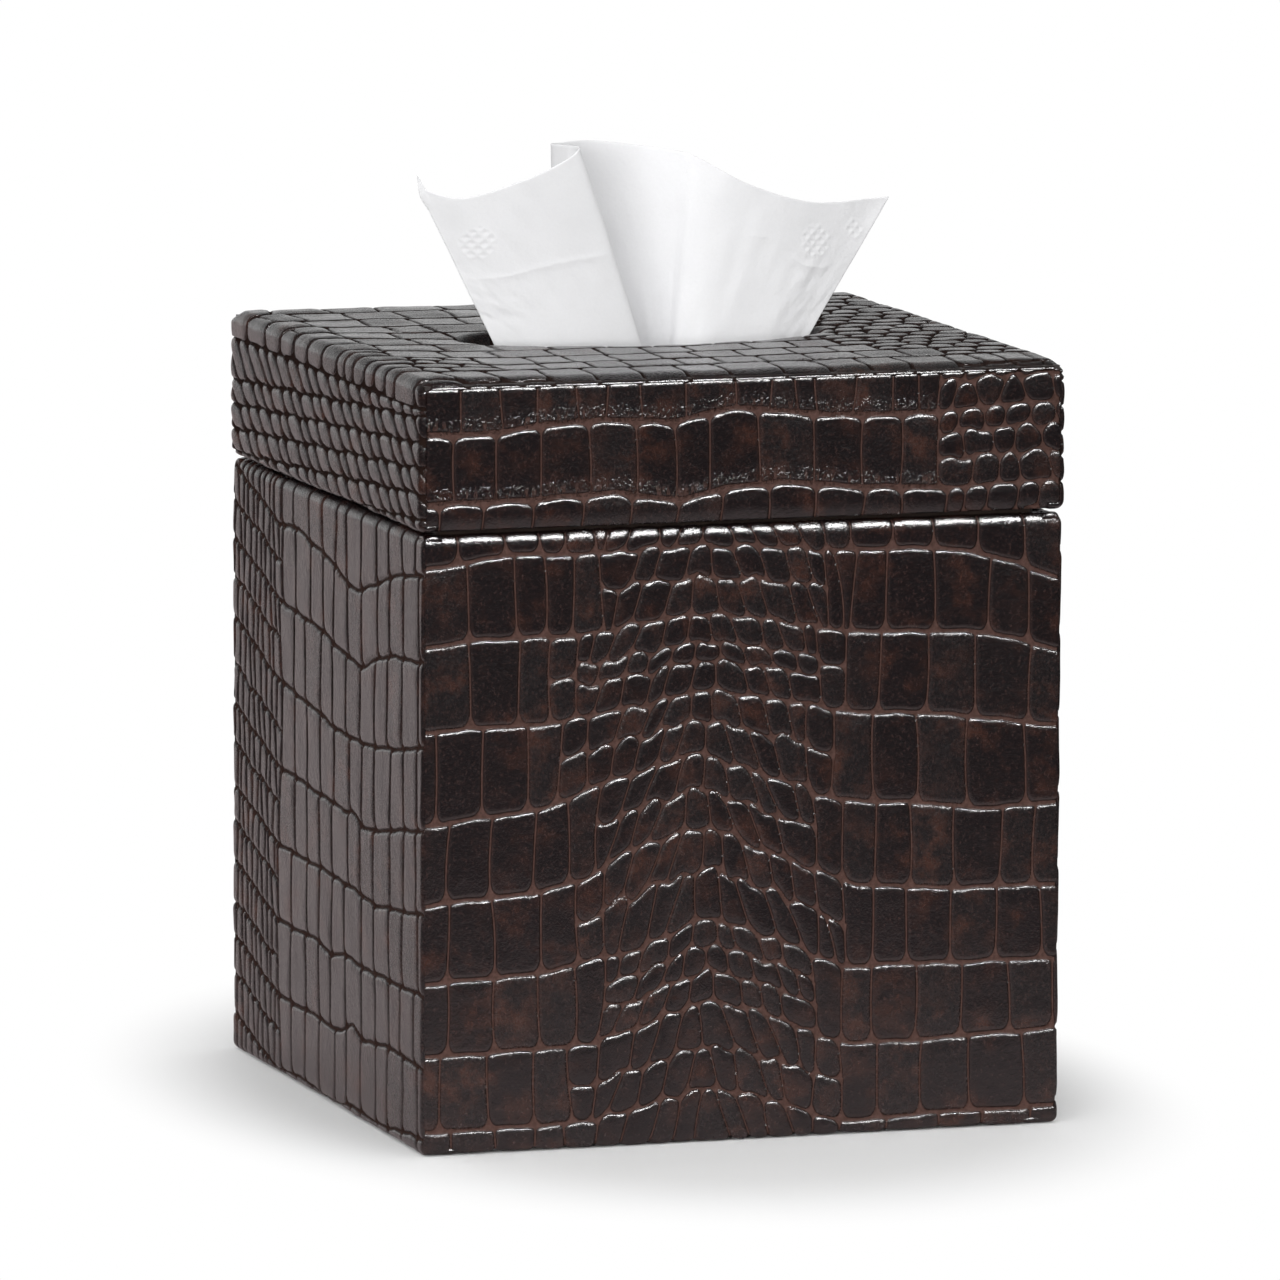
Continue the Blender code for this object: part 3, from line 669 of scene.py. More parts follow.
def lid_wrap(name, strips, wrap, seed, pitch_s, pitch_t):
    ss = wrap.samples(pitch_s)
    ts = np.linspace(-wrap.end, wrap.end, steps(2 * wrap.end, pitch_t) + 1)
    grid_s, grid_t = snap_grid(strips, ss, ts)
    index = numbered(*grid_s.shape)
    # a block of the grid makes way for rings that run from its outline to the opening's edge
    block = wrap.half[0] + wrap.mouth + 6.0, wrap.half[1] + wrap.mouth + 5.0
    i0, i1 = np.searchsorted(ss, (-block[0], block[0]))
    j0, j1 = np.searchsorted(ts, (-block[1], block[1]))
    for j in (j0, j1):
        grid_t[j, i0:i1 + 1] = ts[j]
    for i in (i0, i1):
        grid_s[j0:j1 + 1, i] = ss[i]
    kept, solid = np.ones(index.shape, bool), np.ones((len(ts) - 1, len(ss) - 1), bool)
    kept[j0 + 1:j1, i0 + 1:i1] = False
    solid[j0:j1, i0:i1] = False
    renumber = np.cumsum(kept) - 1
    faces = renumber[cells_of(index)[solid]].tolist()
    s, t = grid_s[kept], grid_t[kept]
    ring = renumber[rim_indices(index[j0:j1 + 1, i0:i1 + 1])]
    ring_s, ring_t = s[ring], t[ring]
    theta = np.unwrap(np.arctan2(ring_t / wrap.half[1] / 1.35, ring_s / wrap.half[0] / 1.1))
    # no relief along the seams at front and back
    even = np.maximum(smooth((wrap.end - np.abs(t)) / 2.2),
                      smooth((np.abs(s) - wrap.flat) / wrap.arc))
    height, values = leather_height(strips, s, t, seed, faded(s, t, ss, ts) * even)
    height *= 1.0 + TOP_RELIEF * smooth((wrap.flat - np.abs(s)) / 4.0)
    parts = [(s, t, wrap.surface(s, t, height), *values)]
    to_s, to_t = wrap.developed(theta, 0.0)
    layers = int(round(8.0 / pitch_s))
    for share in np.arange(1, layers + 1) / layers:
        a, b = ring_s + (to_s - ring_s) * share, ring_t + (to_t - ring_t) * share
        height, values = leather_height(strips, a, b, seed, 1.0 + TOP_RELIEF)
        parts.append((a, b, wrap.surface(a, b, height), *values))
    arc = wrap.mouth * RIGHT_ANGLE
    reach_in = arc + 1.2
    for inward in (*np.linspace(0, arc, 12)[1:], arc + 0.6, reach_in):
        a, b = wrap.developed(theta, inward)
        calm = smooth((reach_in - inward) / 2.0)
        height, values = leather_height(strips, a, b, seed, (1.0 + TOP_RELIEF) * calm)
        parts.append((a, b, wrap.opening_ring(theta, inward, height), *values))
    rings = np.vstack([ring, numbered(len(parts) - 1, len(ring), len(s))])
    faces += grid_faces(joined(rings))
    s, t, points, *values = (np.concatenate(column) for column in zip(*parts))

    def under(a, b, depth):
        made = wrap.surface(a, b, -depth)
        for k in np.nonzero((np.abs(a) < block[0]) & (np.abs(b) < block[1]))[0]:
            angle, inward = wrap.opening_place(a[k], b[k])
            if inward > 1e-6:
                made[k] = wrap.opening_ring(angle, inward, -depth[k])
        return made

    def opening(centre):
        angle, inward = wrap.opening_place(*centre)
        return (math.hypot(*centre) < math.hypot(*wrap.developed(angle, reach_in))
                and inward > reach_in - 1e-9)

    across, along = wrap.marks()
    room_s, room_t = wrap.half[0] + wrap.mouth + 2, wrap.half[1] + wrap.mouth + 2
    inner = [(a, b) for a in across for b in along if abs(a) > room_s or abs(b) > room_t]
    for inward in (0.0, 1.8, 3.6, 5.2):
        inner += zip(*wrap.developed(np.linspace(0, TURN, 97)[:-1], inward))
    # painted shade darkens the grooves on the lid's sides and top, and widens them most on the top
    outwards = np.abs(s) - wrap.flat
    return close_sheet(
        name, points, faces, np.stack([s, t], axis=1),
        [renumber[rim_indices(index)], rings[-1]], under, inner, values, opening,
        bite=0.6 + 0.4 * smooth(outwards / wrap.arc), dim=1.0 + 2.0 * smooth(-outwards / 4.0))


# ---------------------------------------------------------------- layouts, read from the photo

def side_zones(left, right, left_tiles, right_tiles, small_rows, small_width, medium_rows):
    """Tiles to both sides of small scales, with a column of medium ones between."""
    low, high = left + MEDIUM_ZONE, right - MEDIUM_ZONE
    return [("tile", -FAR, left, 1, left_tiles), ("medium", left, low, medium_rows, WHOLE),
            ("small", low, high, small_rows, small_width),
            ("medium", high, right, medium_rows, WHOLE), ("tile", right, FAR, 1, right_tiles)]


def front_layout():
    rng = np.random.default_rng(11)
    rows = [
        [(-66, 115.1), (-48, 117.9), (-40, 117.2), (-8, 118.2), (24, 116.0), (40, 116.0),
         (48, 114.5), (58, 111.8), (66, 108.7)],
        [(-66, 99.6), (-56, 101.4), (-36, 101.2), (-20, 103.5), (-8, 105.0), (8, 102.5),
         (23, 99.8), (41, 99.5), (50, 98.6), (59, 96.6), (66, 94.4)],
        [(-66, 83.6), (-40, 84.3), (-22, 87.0), (-8, 89.8), (6, 87.5), (20, 84.3), (36, 83.3),
         (48, 82.2), (66, 79.3)],
        [(-66, 65.0), (-42, 67.5), (-35, 69.5), (-30, 71.9), (-20, 74.5), (-10, 77.5), (0, 74.0),
         (10, 70.5), (18, 67.0), (36, 65.4), (51, 63.7), (66, 64.3)],
        [(-66, 49.4), (-41.5, 51.3), (-31, 53.5), (-26, 58.1), (-12, 62.0), (-6, 62.5), (5, 57.0),
         (24, 49.6), (41, 48.3), (66, 47.9)],
        [(-66, 33.9), (-38, 35.5), (-31, 37.5), (-23, 38.6), (-13.6, 42.1), (-8, 45.0), (5, 40.5),
         (21, 33.5), (36, 33.5), (66, 33.1)],
        [(-66, 19.7), (-37.5, 20.3), (-31, 21.1), (-23, 22.9), (-8, 28.5), (5, 25.0), (21, 18.1),
         (41, 18.3), (66, 19.3)],
        [(-66, 4.9), (-47, 4.9), (-36, 5.3), (-29, 5.8), (-8, 11.0), (6, 8.0), (20, 2.6),
         (36, 3.4), (66, 3.6)],
    ]
    lines = [row_line(p, rng, 0.25) for p in [level(128.5)] + rows + [level(-12.5)]]
    # among the small scales the rows are less even
    loose = np.random.default_rng(12)
    among = smooth((TABLE + 34.0) / 5.0) * smooth((19.0 - TABLE) / 5.0)
    lines = [line + among * wobble(loose, 0.55, ((9.7, 0.5), (6.1, 0.35), (4.3, 0.15)))
             for line in lines]
    # for each band: both ends of the small scales, the tiles' edges, and the rows of small
    # and of medium scales
    bands = [
        (-36.5, 22.0, [-58.6, -49.0, -42.0], [30.6, 39.1, 48.5, 57.9], 1, 1),
        (-35.0, 22.5, [-56.5, -46.9, -40.6], [29.3, 39.4, 50.7, 59.0], 2, 1),
        (-40.0, 21.0, [-56.1, -46.1], [28.1, 38.1, 47.9, 59.2], 3, 2),
        (-37.7, 18.5, [-62.9, -53.6, -44.2], [26.6, 36.1, 46.1, 58.5], 2, 2),
        (-35.8, 20.5, [-60.7, -51.9, -42.9], [27.4, 34.8, 43.6, 53.6, 60.3], 2, 1),
        (-34.3, 21.0, [-60.4, -51.1, -41.5], [27.0, 33.9, 43.1, 52.7, 62.1], 2, 2),
        (-34.3, 20.5, [-60.4, -51.2, -42.0], [26.7, 36.1, 45.5, 55.5, 64.6], 3, 1),
        (-35.7, 20.5, [-62.2, -52.4, -43.0], [28.0, 37.0, 47.1, 58.6], 2, 2),
        (-36.0, 20.0, [-60.0, -50.5, -42.5], [30.0, 41.0, 50.0, 60.0], 2, 1),
    ]
    zones = [side_zones(left, right, left_tiles, right_tiles, small, 4.9, medium)
             for left, right, left_tiles, right_tiles, small, medium in bands]
    return fill_panel(lines, zones, rng, fan=(-8.0, 0.30))


def tall_layout(seed, rows, small_to, small_width, tile_width, mirrored=False):
    """Long tiles towards one edge and slender small scales towards the other."""
    rng = np.random.default_rng(seed)
    top = level(129.5, 133.0) if mirrored else level(133.0, 129.5)
    lines = [row_line(row, rng, 0.3) for row in [top] + rows + [level(-14.0)]]
    bands = []
    for _ in lines[1:]:
        end = small_to + rng.uniform(-2.5, 2.5)
        bands.append([("tall", -FAR, -end, 1, tile_width), ("slender", -end, FAR, 2, small_width)]
                     if mirrored else
                     [("slender", -FAR, end, 2, small_width), ("tall", end, FAR, 1, tile_width)])
    return fill_panel(lines, bands, rng)


def left_layout():
    rows = [
        [(-66, 121.0), (-33, 112.4), (-20, 112.8), (-3, 110.3), (7, 108.4), (19, 105.5),
         (24, 106.0), (45, 111.5), (63, 114.1)],
        [(-66, 106.0), (-32, 97.0), (-25, 96.0), (-6, 95.0), (6, 92.8), (18, 91.6), (24, 90.2),
         (34, 94.0), (45, 95.7), (63, 97.1)],
        [(-66, 90.0), (-35, 81.0), (-26, 79.8), (-8, 78.1), (3, 76.5), (19, 75.6), (33, 76.3),
         (44, 77.2), (63, 80.2)],
        [(-66, 72.0), (-34, 63.0), (-11, 61.8), (13, 60.5), (18, 61.5), (26, 58.7), (33, 59.6),
         (63, 64.0)],
        [(-66, 55.0), (-32, 46.8), (-11, 46.7), (9.5, 46.2), (26, 45.3), (35, 44.8), (63, 47.5)],
        [(-66, 39.5), (-33, 31.4), (-7, 31.7), (5, 30.2), (11, 31.7), (28, 31.0), (63, 31.6)],
        [(-66, 24.0), (-33, 16.1), (-9, 16.2), (9.5, 15.6), (18, 18.6), (26, 16.5), (45, 18.1),
         (63, 17.2)],
        [(-66, 8.0), (-35, 0.8), (-24, 1.7), (-9, 1.3), (7.5, 0.3), (17, 2.4), (31, 1.2),
         (63, 3.5)],
    ]
    return tall_layout(23, rows, -32.0, 3.7, 9.2)


def right_layout():
    """The photo doesn't show this side: its rows are like the left side's."""
    rng = np.random.default_rng(31)
    rows = []
    for i in range(8):
        v = 112.0 - 15.6 * i + rng.uniform(-1.0, 1.0)
        rows.append([(-66, v + 2.0), (-30, v - rng.uniform(0, 3)), (0, v - rng.uniform(1, 4)),
                     (20, v - 3.0), (34, v), (66, v + 8.0)])
    return tall_layout(37, rows, -26.0, 4.3, 9.6, mirrored=True)


def back_layout():
    """The photo doesn't show this side: its rows are like the front's."""
    rng = np.random.default_rng(43)
    lines = [row_line(level(128.0, 129.0), rng)]
    for i in range(8):
        v = 114.0 - 15.7 * i
        peak = rng.uniform(5.0, 9.0)
        lines.append(row_line([
            (-66, v + rng.uniform(-2, 2)), (-30, v + 1.0), (-18, v + 0.45 * peak), (2, v + peak),
            (18, v + 0.5 * peak), (30, v), (66, v + rng.uniform(-3, 1))], rng, 0.3))
    lines.append(row_line(level(-13.0), rng))
    bands = []
    for i in range(9):
        left, right = -26.0 + rng.uniform(-3, 2), 31.0 + rng.uniform(-2, 3)
        small = (2, 3)[i % 2] if i else 1
        bands.append(side_zones(left, right, 9.6, 9.4, small, 5.0, 2 if 0 < i < 8 else 1))
    return fill_panel(lines, bands, rng, fan=(2.0, 0.30))


def lid_panel(rng, rows, amplitude, bands):
    """The lid's front or back: two row lines between those past its edges."""
    lines = [row_line(level(163.0), rng), *(row_line(row, rng, amplitude) for row in rows),
             row_line(level(112.0), rng)]
    return fill_panel(lines, bands, rng)


def lid_front_layout():
    rows = [
        [(-66, 141.6), (-54, 141.5), (-42, 142.8), (-28, 143.6), (-15, 142.4), (-3, 145.2),
         (12, 143.4), (25, 142.7), (34, 142.6), (42, 143.0), (66, 144.5)],
        [(-66, 128.0), (-54, 128.2), (-37, 128.6), (-26, 129.3), (-14, 127.0), (-3, 129.6),
         (8, 130.0), (25, 128.5), (40, 127.8), (66, 128.6)],
    ]
    upper = [-58.2, -50.3, -42.5, -34.9, -28.4, -21.9, -12.2, -2.2, 5.5, 9.9, 14.1, 22.8, 30.4,
             35.6]
    main = [-59.7, -51.0, -41.9, -31.9, -22.3, -14.3, -7.4, 2.7, 14.0, 23.9, 32.2]
    lower = [-62.4, -53.4, -43.5, -33.3, -23.5, -13.9, -4.7, 5.2, 14.7, 24.4, 32.5]
    return lid_panel(np.random.default_rng(53), rows, 0.2, [
        [("arch", -FAR, end, 1, marks), ("round", end, FAR, 3, width)]
        for end, marks, width in ((40.0, upper, 5.2), (39.7, main, 5.0), (41.5, lower, 5.4))])


def lid_back_layout():
    rows = [
        [(-66, 143.0), (-20, 141.0), (10, 143.5), (40, 141.5), (66, 142.5)],
        [(-66, 129.0), (-30, 127.0), (5, 128.5), (30, 126.5), (66, 129.0)],
    ]
    return lid_panel(np.random.default_rng(59), rows, 0.4, [
        [("round", -FAR, end, 3, small), ("arch", end, FAR, 1, tile)]
        for end, small, tile in ((-38.0, 5.3, 9.4), (-41.0, 5.0, 9.6), (-36.0, 5.2, 9.3))])


def wrap_layout(wrap):
    """Rows of tiles over the top whose left ends turn down the side, and round scales elsewhere."""
    rng = np.random.default_rng(61)
    lobe_end = -(wrap.flat + wrap.arc + 3.0)
    outer = TABLE[-1]
    # each row line across the top: at the left end, left of the middle, in the middle and right
    places = [
        (92.0, 92.0, 92.0, 92.0), (54.0, 53.0, 52.0, 55.0), (41.0, 40.0, 38.5, 43.0),
        (30.5, 27.0, 26.0, 31.5), (21.5, 14.5, 13.0, 19.0), (12.0, 3.0, 1.0, 7.5),
        (2.0, -8.5, -10.5, -4.0), (-8.0, -19.5, -21.5, -15.5), (-19.5, -31.0, -31.5, -26.5),
        (-33.0, -42.5, -41.5, -38.0), (-47.5, -52.5, -52.0, -50.0), (-76.0, -76.0, -76.0, -76.0),
        (-92.0, -92.0, -92.0, -92.0)]
    lines = []
    for left, near, middle, right in places:
        flat = abs(left) > 90
        lines.append(row_line(
            [(-outer, left), (lobe_end, left), (-40.0, near), (0.0, middle),
             (35.0, (middle + right) / 2), (wrap.flat, right),
             (outer, right + (0 if flat else 2.0))], rng, 0.0 if flat else 0.4, 3.0))
    bands = []
    for i in range(len(lines) - 1):
        start = -(wrap.flat - 5.0) + rng.uniform(-2.0, 2.0)
        right = (18.0 + 2.2 * i if i < 9 else 46.0) + rng.uniform(-2.0, 2.0)
        zones = [("lobe", lobe_end, start, 1 if i < 7 else 2, WHOLE)]
        if 8 <= i <= 10:
            end = start + 12.0 + 3 * (i - 8)
            zones.append(("scale", start, end, 2, 6.0))
            start = end
        zones.append(("gathered" if i == 9 else "plain", start, right, 1, 10.5 if i < 8 else 9.6))
        zones.append(("scale" if i < 10 else "plain", right, wrap.flat + 4.0,
                      2 if i < 11 else 1, 6.4))
        bands.append(zones)
    strips = fill_panel(lines, bands, rng)
    # the two sides, in rows that run from front to back
    count = 6
    for sign, start, kind in ((-1, lobe_end, "leaning"), (1, wrap.flat + 4.0, "round")):
        places = [start + sign * 5.0 * k for k in range(count)]
        places.append(sign * (wrap.knots[-1] + 8.0))
        rows = []
        for k, place in enumerate(places):
            slant = 0.0 if k in (0, count) else 0.055 * 70
            rows.append(row_line([(-70.0, place - sign * slant), (70.0, place + sign * slant)],
                                 rng, 0.0 if k == 0 else 0.4))
        thin = np.full_like(TABLE, KINDS["round"].row_half)
        rows = rows[::-sign]
        for pair in zip(rows, rows[1:]):
            fill_band(strips, *pair, thin, thin, [(kind, -FAR, FAR, 1, 7.0)], rng, swap=True)
    return strips


# ---------------------------------------------------------------- materials

class Nodes:
    """Short calls for shader nodes. Any value may also be another node's output."""

    def __init__(self, owner, place="Object"):
        owner.use_nodes = True
        self.owner, self.tree = owner, owner.node_tree
        self.place = self.add("TexCoord", output=place)

    def put(self, socket, value):
        if isinstance(value, bpy.types.NodeSocket):
            self.tree.links.new(value, socket)
        else:
            socket.default_value = (*value, 1.0) if socket.type == "RGBA" else value

    def add(self, kind, inputs=(), output=0, **settings):
        node = self.tree.nodes.new("ShaderNode" + kind)
        for key, value in settings.items():
            setattr(node, key, value)
        for key, value in dict(inputs).items():
            self.put(node.inputs[key], value)
        return node.outputs[output]

    def attribute(self, name):
        return self.add("Attribute", output="Fac", attribute_name=name)

    def rays(self, kind):
        return self.add("LightPath", output="Is %s Ray" % kind)

    def noise(self, scale, detail=3.0, roughness=0.55, stretch=None):
        place = self.place
        if stretch:
            place = self.add("Mapping", {"Vector": place, "Scale": stretch})
        return self.add("TexNoise", {"Vector": place, "Scale": scale, "Detail": detail,
                                     "Roughness": roughness}, "Fac")

    def ramp(self, value, low, high, to_low=0.0, to_high=1.0, kind="SMOOTHSTEP"):
        return self.add("MapRange", {"Value": value, "From Min": low, "From Max": high,
                                     "To Min": to_low, "To Max": to_high},
                        "Result", interpolation_type=kind)

    def line(self, value, low, high, to_low, to_high):
        return self.ramp(value, low, high, to_low, to_high, "LINEAR")

    def math(self, operation, a, b):
        return self.add("Math", {0: a, 1: b}, operation=operation)

    def vector(self, operation, a, b=None, output=0):
        return self.add("VectorMath", {0: a} if b is None else {0: a, 1: b}, output,
                        operation=operation)

    def plus(self, a, b):
        return self.math("ADD", a, b)

    def minus(self, a, b):
        return self.math("SUBTRACT", a, b)

    def times(self, a, b):
        return self.math("MULTIPLY", a, b)

    def mix(self, share, a, b):
        return self.add("Mix", {0: share, 6: a, 7: b}, 2, data_type="RGBA")

    def choose(self, share, a, b):
        return self.add("Mix", {0: share, 2: a, 3: b}, 0, data_type="FLOAT")

    def bump(self, height, distance, strength=1.0, normal=None):
        inputs = {"Height": height, "Distance": distance, "Strength": strength}
        return self.add("Bump", {**inputs, "Normal": normal} if normal else inputs, "Normal")

    def shade(self, colour, roughness, normal, specular, more=()):
        """Sets the shader's sockets and gives the finished material."""
        inputs = self.tree.nodes["Principled BSDF"].inputs
        for key, value in {"Base Color": colour, "Roughness": roughness, "Normal": normal,
                           "Specular IOR Level": specular, **dict(more)}.items():
            self.put(inputs[key], value)
        return self.owner


def scaled(colour, share):
    return tuple(min(1.0, share * c) for c in colour)


def leather_material(name):
    n = Nodes(bpy.data.materials.new(name))
    edge, shade, crease, dim = (n.attribute(key) for key in ("edge", "shade", "crease", "dim"))
    mottle, blotch = n.noise(170.0, 6.0, 0.68), n.noise(60.0, 2.0, 0.5)
    fine = n.noise(1100.0, 4.0, 0.7)
    # painted shade: the lines on the lid's sides and top, and on the body's sides, are drawn wider
    # and darker than on the fronts, in place of the shade that falls in the grooves there
    inner = n.minus(edge, n.times(dim, 0.12))
    top = n.ramp(n.plus(inner, n.line(fine, 0.3, 0.7, -0.05, 0.05)), -0.08, 0.15)
    # on top the scales are nearly black, with warm mottling and paler fibres
    warm = n.plus(n.times(n.ramp(mottle, 0.44, 0.72), n.ramp(blotch, 0.35, 0.62)),
                  n.times(n.ramp(shade, 0.5, 1.0, 0.0, 0.35), n.ramp(mottle, 0.4, 0.7)))
    scale = n.mix(n.math("MINIMUM", warm, 1.0), (0.0062, 0.0038, 0.0044), (0.042, 0.0150, 0.0095))
    fibre = n.noise(2300.0, 3.0, 0.65, (1.0, 1.0, 0.7))
    scale = n.mix(n.ramp(fibre, 0.50, 0.72, 0.0, 0.46), scale, (0.058, 0.030, 0.026))
    # the leather is paler where it falls away towards a groove
    scale = n.mix(n.ramp(edge, 0.15, 0.8, 0.16, 0.0), scale, (0.064, 0.036, 0.031))
    groove = n.mix(n.ramp(fine, 0.3, 0.7), (0.052, 0.028, 0.0225), (0.092, 0.051, 0.043))
    # painted shade: where dim is set, the groove's colour is darkened towards near black, standing
    # in for the shade in the grooves
    groove = n.mix(dim, groove, (0.016, 0.0085, 0.0068))
    # short puckers at the end of a tile are pressed in, so they show the groove's colour
    strokes = n.noise(900.0, 3.0, 0.6, (1.0, 1.0, 0.24))
    pucker = n.times(n.ramp(strokes, 0.53, 0.60), n.ramp(crease, 0.24, 0.5))
    top = n.times(top, n.minus(1.0, n.times(pucker, 0.7)))
    polish = n.plus(n.ramp(fine, 0.3, 0.75, 0.13, 0.22), n.ramp(shade, 0.1, 0.9, 0.0, 0.10))
    rough = n.choose(n.ramp(inner, -0.30, -0.05), 0.9, polish)
    # the crisp shoulder of each scale, the puckers, the pits beside them, and the grain
    shoulder = n.plus(n.ramp(edge, -0.06, 0.24),
                      n.times(n.ramp(edge, 0.05, 0.4), n.ramp(edge, 1.3, 0.4, 0.0, 0.25)))
    normal = n.bump(n.times(shoulder, n.attribute("bite")), 0.00022)
    normal = n.bump(n.minus(1.0, pucker), 0.00048, 1.0, normal)
    pits = n.times(n.ramp(n.noise(1250.0, 2.0, 0.5), 0.52, 0.64), n.ramp(crease, 0.12, 0.5))
    normal = n.bump(pits, 0.00030, 1.0, normal)
    normal = n.bump(fibre, 0.00018, 0.85, normal)
    normal = n.bump(n.noise(430.0, 3.0, 0.6), 0.00030, 0.5, normal)
    return n.shade(n.mix(top, groove, scale), rough, normal, n.line(top, 0.0, 1.0, 0.03, 0.55),
                   {"Coat Weight": n.times(top, 0.2), "Coat Roughness": 0.2})


def tissue_material(name, tone, crepe=1.0):
    n = Nodes(bpy.data.materials.new(name))
    speck = n.noise(1800.0, 3.0, 0.7)
    colour = n.mix(n.ramp(n.noise(55.0, 2.0), 0.3, 0.7, 0.0, 0.5), tone, scaled(tone, 0.965))
    colour = n.mix(n.ramp(speck, 0.35, 0.7, 0.0, 0.25), colour, scaled(tone, 0.93))
    normal = n.bump(n.noise(1300.0, 4.0, 0.7), 0.00006 * crepe, 0.5)
    normal = n.bump(n.noise(260.0, 3.0, 0.6), 0.00030 * crepe, 0.5, normal)
    return n.shade(colour, n.line(speck, 0.2, 0.8, 0.82, 0.98), normal, 0.25)


def suede_material(name, deep, pale, nap_depth=0.0002):
    n = Nodes(bpy.data.materials.new(name))
    nap, fibre = n.noise(90.0, 4.0, 0.65), n.noise(2600.0, 3.0, 0.75)
    colour = n.mix(n.ramp(nap, 0.36, 0.66), deep, pale)
    colour = n.mix(n.ramp(fibre, 0.30, 0.75, 0.0, 0.5), colour, scaled(pale, 1.5))
    normal = n.bump(n.noise(420.0, 3.0, 0.6), nap_depth, 0.3, n.bump(fibre, 0.00012, 0.8))
    return n.shade(colour, n.line(nap, 0.3, 0.7, 0.86, 0.98), normal, 0.2,
                   {"Sheen Weight": 0.25, "Sheen Roughness": 0.5})


def card_material(name, tone, fleck, flecks, grain):
    """Pressed board or card: a mottled tone with darker and paler fibres in it."""
    n = Nodes(bpy.data.materials.new(name))
    cloud = n.noise(70.0, 3.0, 0.6)
    colour = n.mix(n.ramp(cloud, 0.3, 0.7), scaled(tone, 0.93), tone)
    dark = n.noise(1500.0, 3.0, 0.7, (1.0, 0.35, 1.0))
    colour = n.mix(n.ramp(dark, 0.58, 0.72, 0.0, flecks), colour, fleck)
    pale = n.noise(1100.0, 3.0, 0.7, (0.4, 1.0, 1.0))
    colour = n.mix(n.ramp(pale, 0.60, 0.75, 0.0, 0.5 * flecks), colour, scaled(tone, 1.25))
    normal = n.bump(n.noise(grain, 4.0, 0.7), 0.00008, 0.5)
    return n.shade(colour, n.line(cloud, 0.3, 0.7, 0.78, 0.92), normal, 0.3)


LEATHER_LOOK = leather_material("croc_leather")

# ---------------------------------------------------------------- the leather sheets

PANEL_HALF, SIDE_HALF, LID_PANEL_HALF = 65.3, 65.6, 65.1
# each side's directions: along its width, and outwards
FRONT = ((1, 0, 0), (0, -1, 0))
LEFT = ((0, -1, 0), (-1, 0, 0))
BACK = ((-1, 0, 0), (0, 1, 0))
RIGHT = ((0, 1, 0), (1, 0, 0))

body_low, body_high = span("body_leather_left")
face = -body_low[0] - HIGHEST
upright = Folded(body_low[2] + CUT, body_high[2] - 0.12, 1.3, 2.2, turn_low=6.0, turn_high=1.7)
panel_across = Folded(-PANEL_HALF, PANEL_HALF, 0.4, 0.4)
side_across = Folded(-SIDE_HALF, SIDE_HALF, 1.0, 1.0, angle=math.radians(62))
# the last value is how much painted shade darkens the grooves: most on the left side, less on the
# right, none on front and back
for side, layout, way, across, seed, pitch, dim in (
        ("front", front_layout, FRONT, panel_across, 101, PITCH, 0.0),
        ("back", back_layout, BACK, panel_across, 103, HIDDEN_PITCH, 0.0),
        ("left", left_layout, LEFT, side_across, 105, PITCH, 0.8),
        ("right", right_layout, RIGHT, side_across, 107, HIDDEN_PITCH, 0.4)):
    panel = side_panel("body_%s_leather" % side, layout(), face, way, upright, across, seed,
                       pitch, dim)
    fit(panel, "body", "leather", LEATHER_LOOK, "body_leather_" + side)

lid_low, lid_high = span("lid_leather_wrap")
LID_TOP = lid_high[2]
lid_face = -lid_low[0] - HIGHEST
seam = span("lid_leather_front")[1][2]
upright = Folded(lid_low[2] + CUT, seam + 0.1, 7.5, 0.6, turn_low=0.4, angle_low=0.5)
across = Folded(-LID_PANEL_HALF, LID_PANEL_HALF, 0.4, 0.4)
for side, layout, way, seed, pitch in (("front", lid_front_layout, FRONT, 111, 0.38),
                                       ("back", lid_back_layout, BACK, 113, 0.46)):
    panel = side_panel("lid_%s_leather" % side, layout(), lid_face, way, upright, across, seed,
                       pitch)
    fit(panel, "lid", "leather", LEATHER_LOOK, "lid_leather_" + side)

wrap = Wrap(half_x=lid_face, low=lid_low[2] + CUT, top=LID_TOP - HIGHEST, bend=2.4, hem=1.6,
            half_y=lid_face - CUT, top_roll=(12.8, 0.49), side_roll=(1.8, 1.15), size=OPENING,
            mouth=3.5)
fit(lid_wrap("lid_wrap_leather", wrap_layout(wrap), wrap, 115, 0.45, 0.5),
    "lid", "leather", LEATHER_LOOK, "lid_leather_wrap")


# ---------------------------------------------------------------- the drawn tissue

SHEET_SPREAD, SHEET_DEPTH, SHEET_STAND = 98.5, 22.0, 38.5
SHEET_THICKNESS = 0.22
SHEET_POINTS = 420                  # across the sheet
SHEET_ROWS = (8, 22, 120)           # from tail to mouth, on to the opening and on to the top
LEFT_FLAP_END, RIGHT_FLAP_START = 150, 262      # columns where the two front flaps end and start
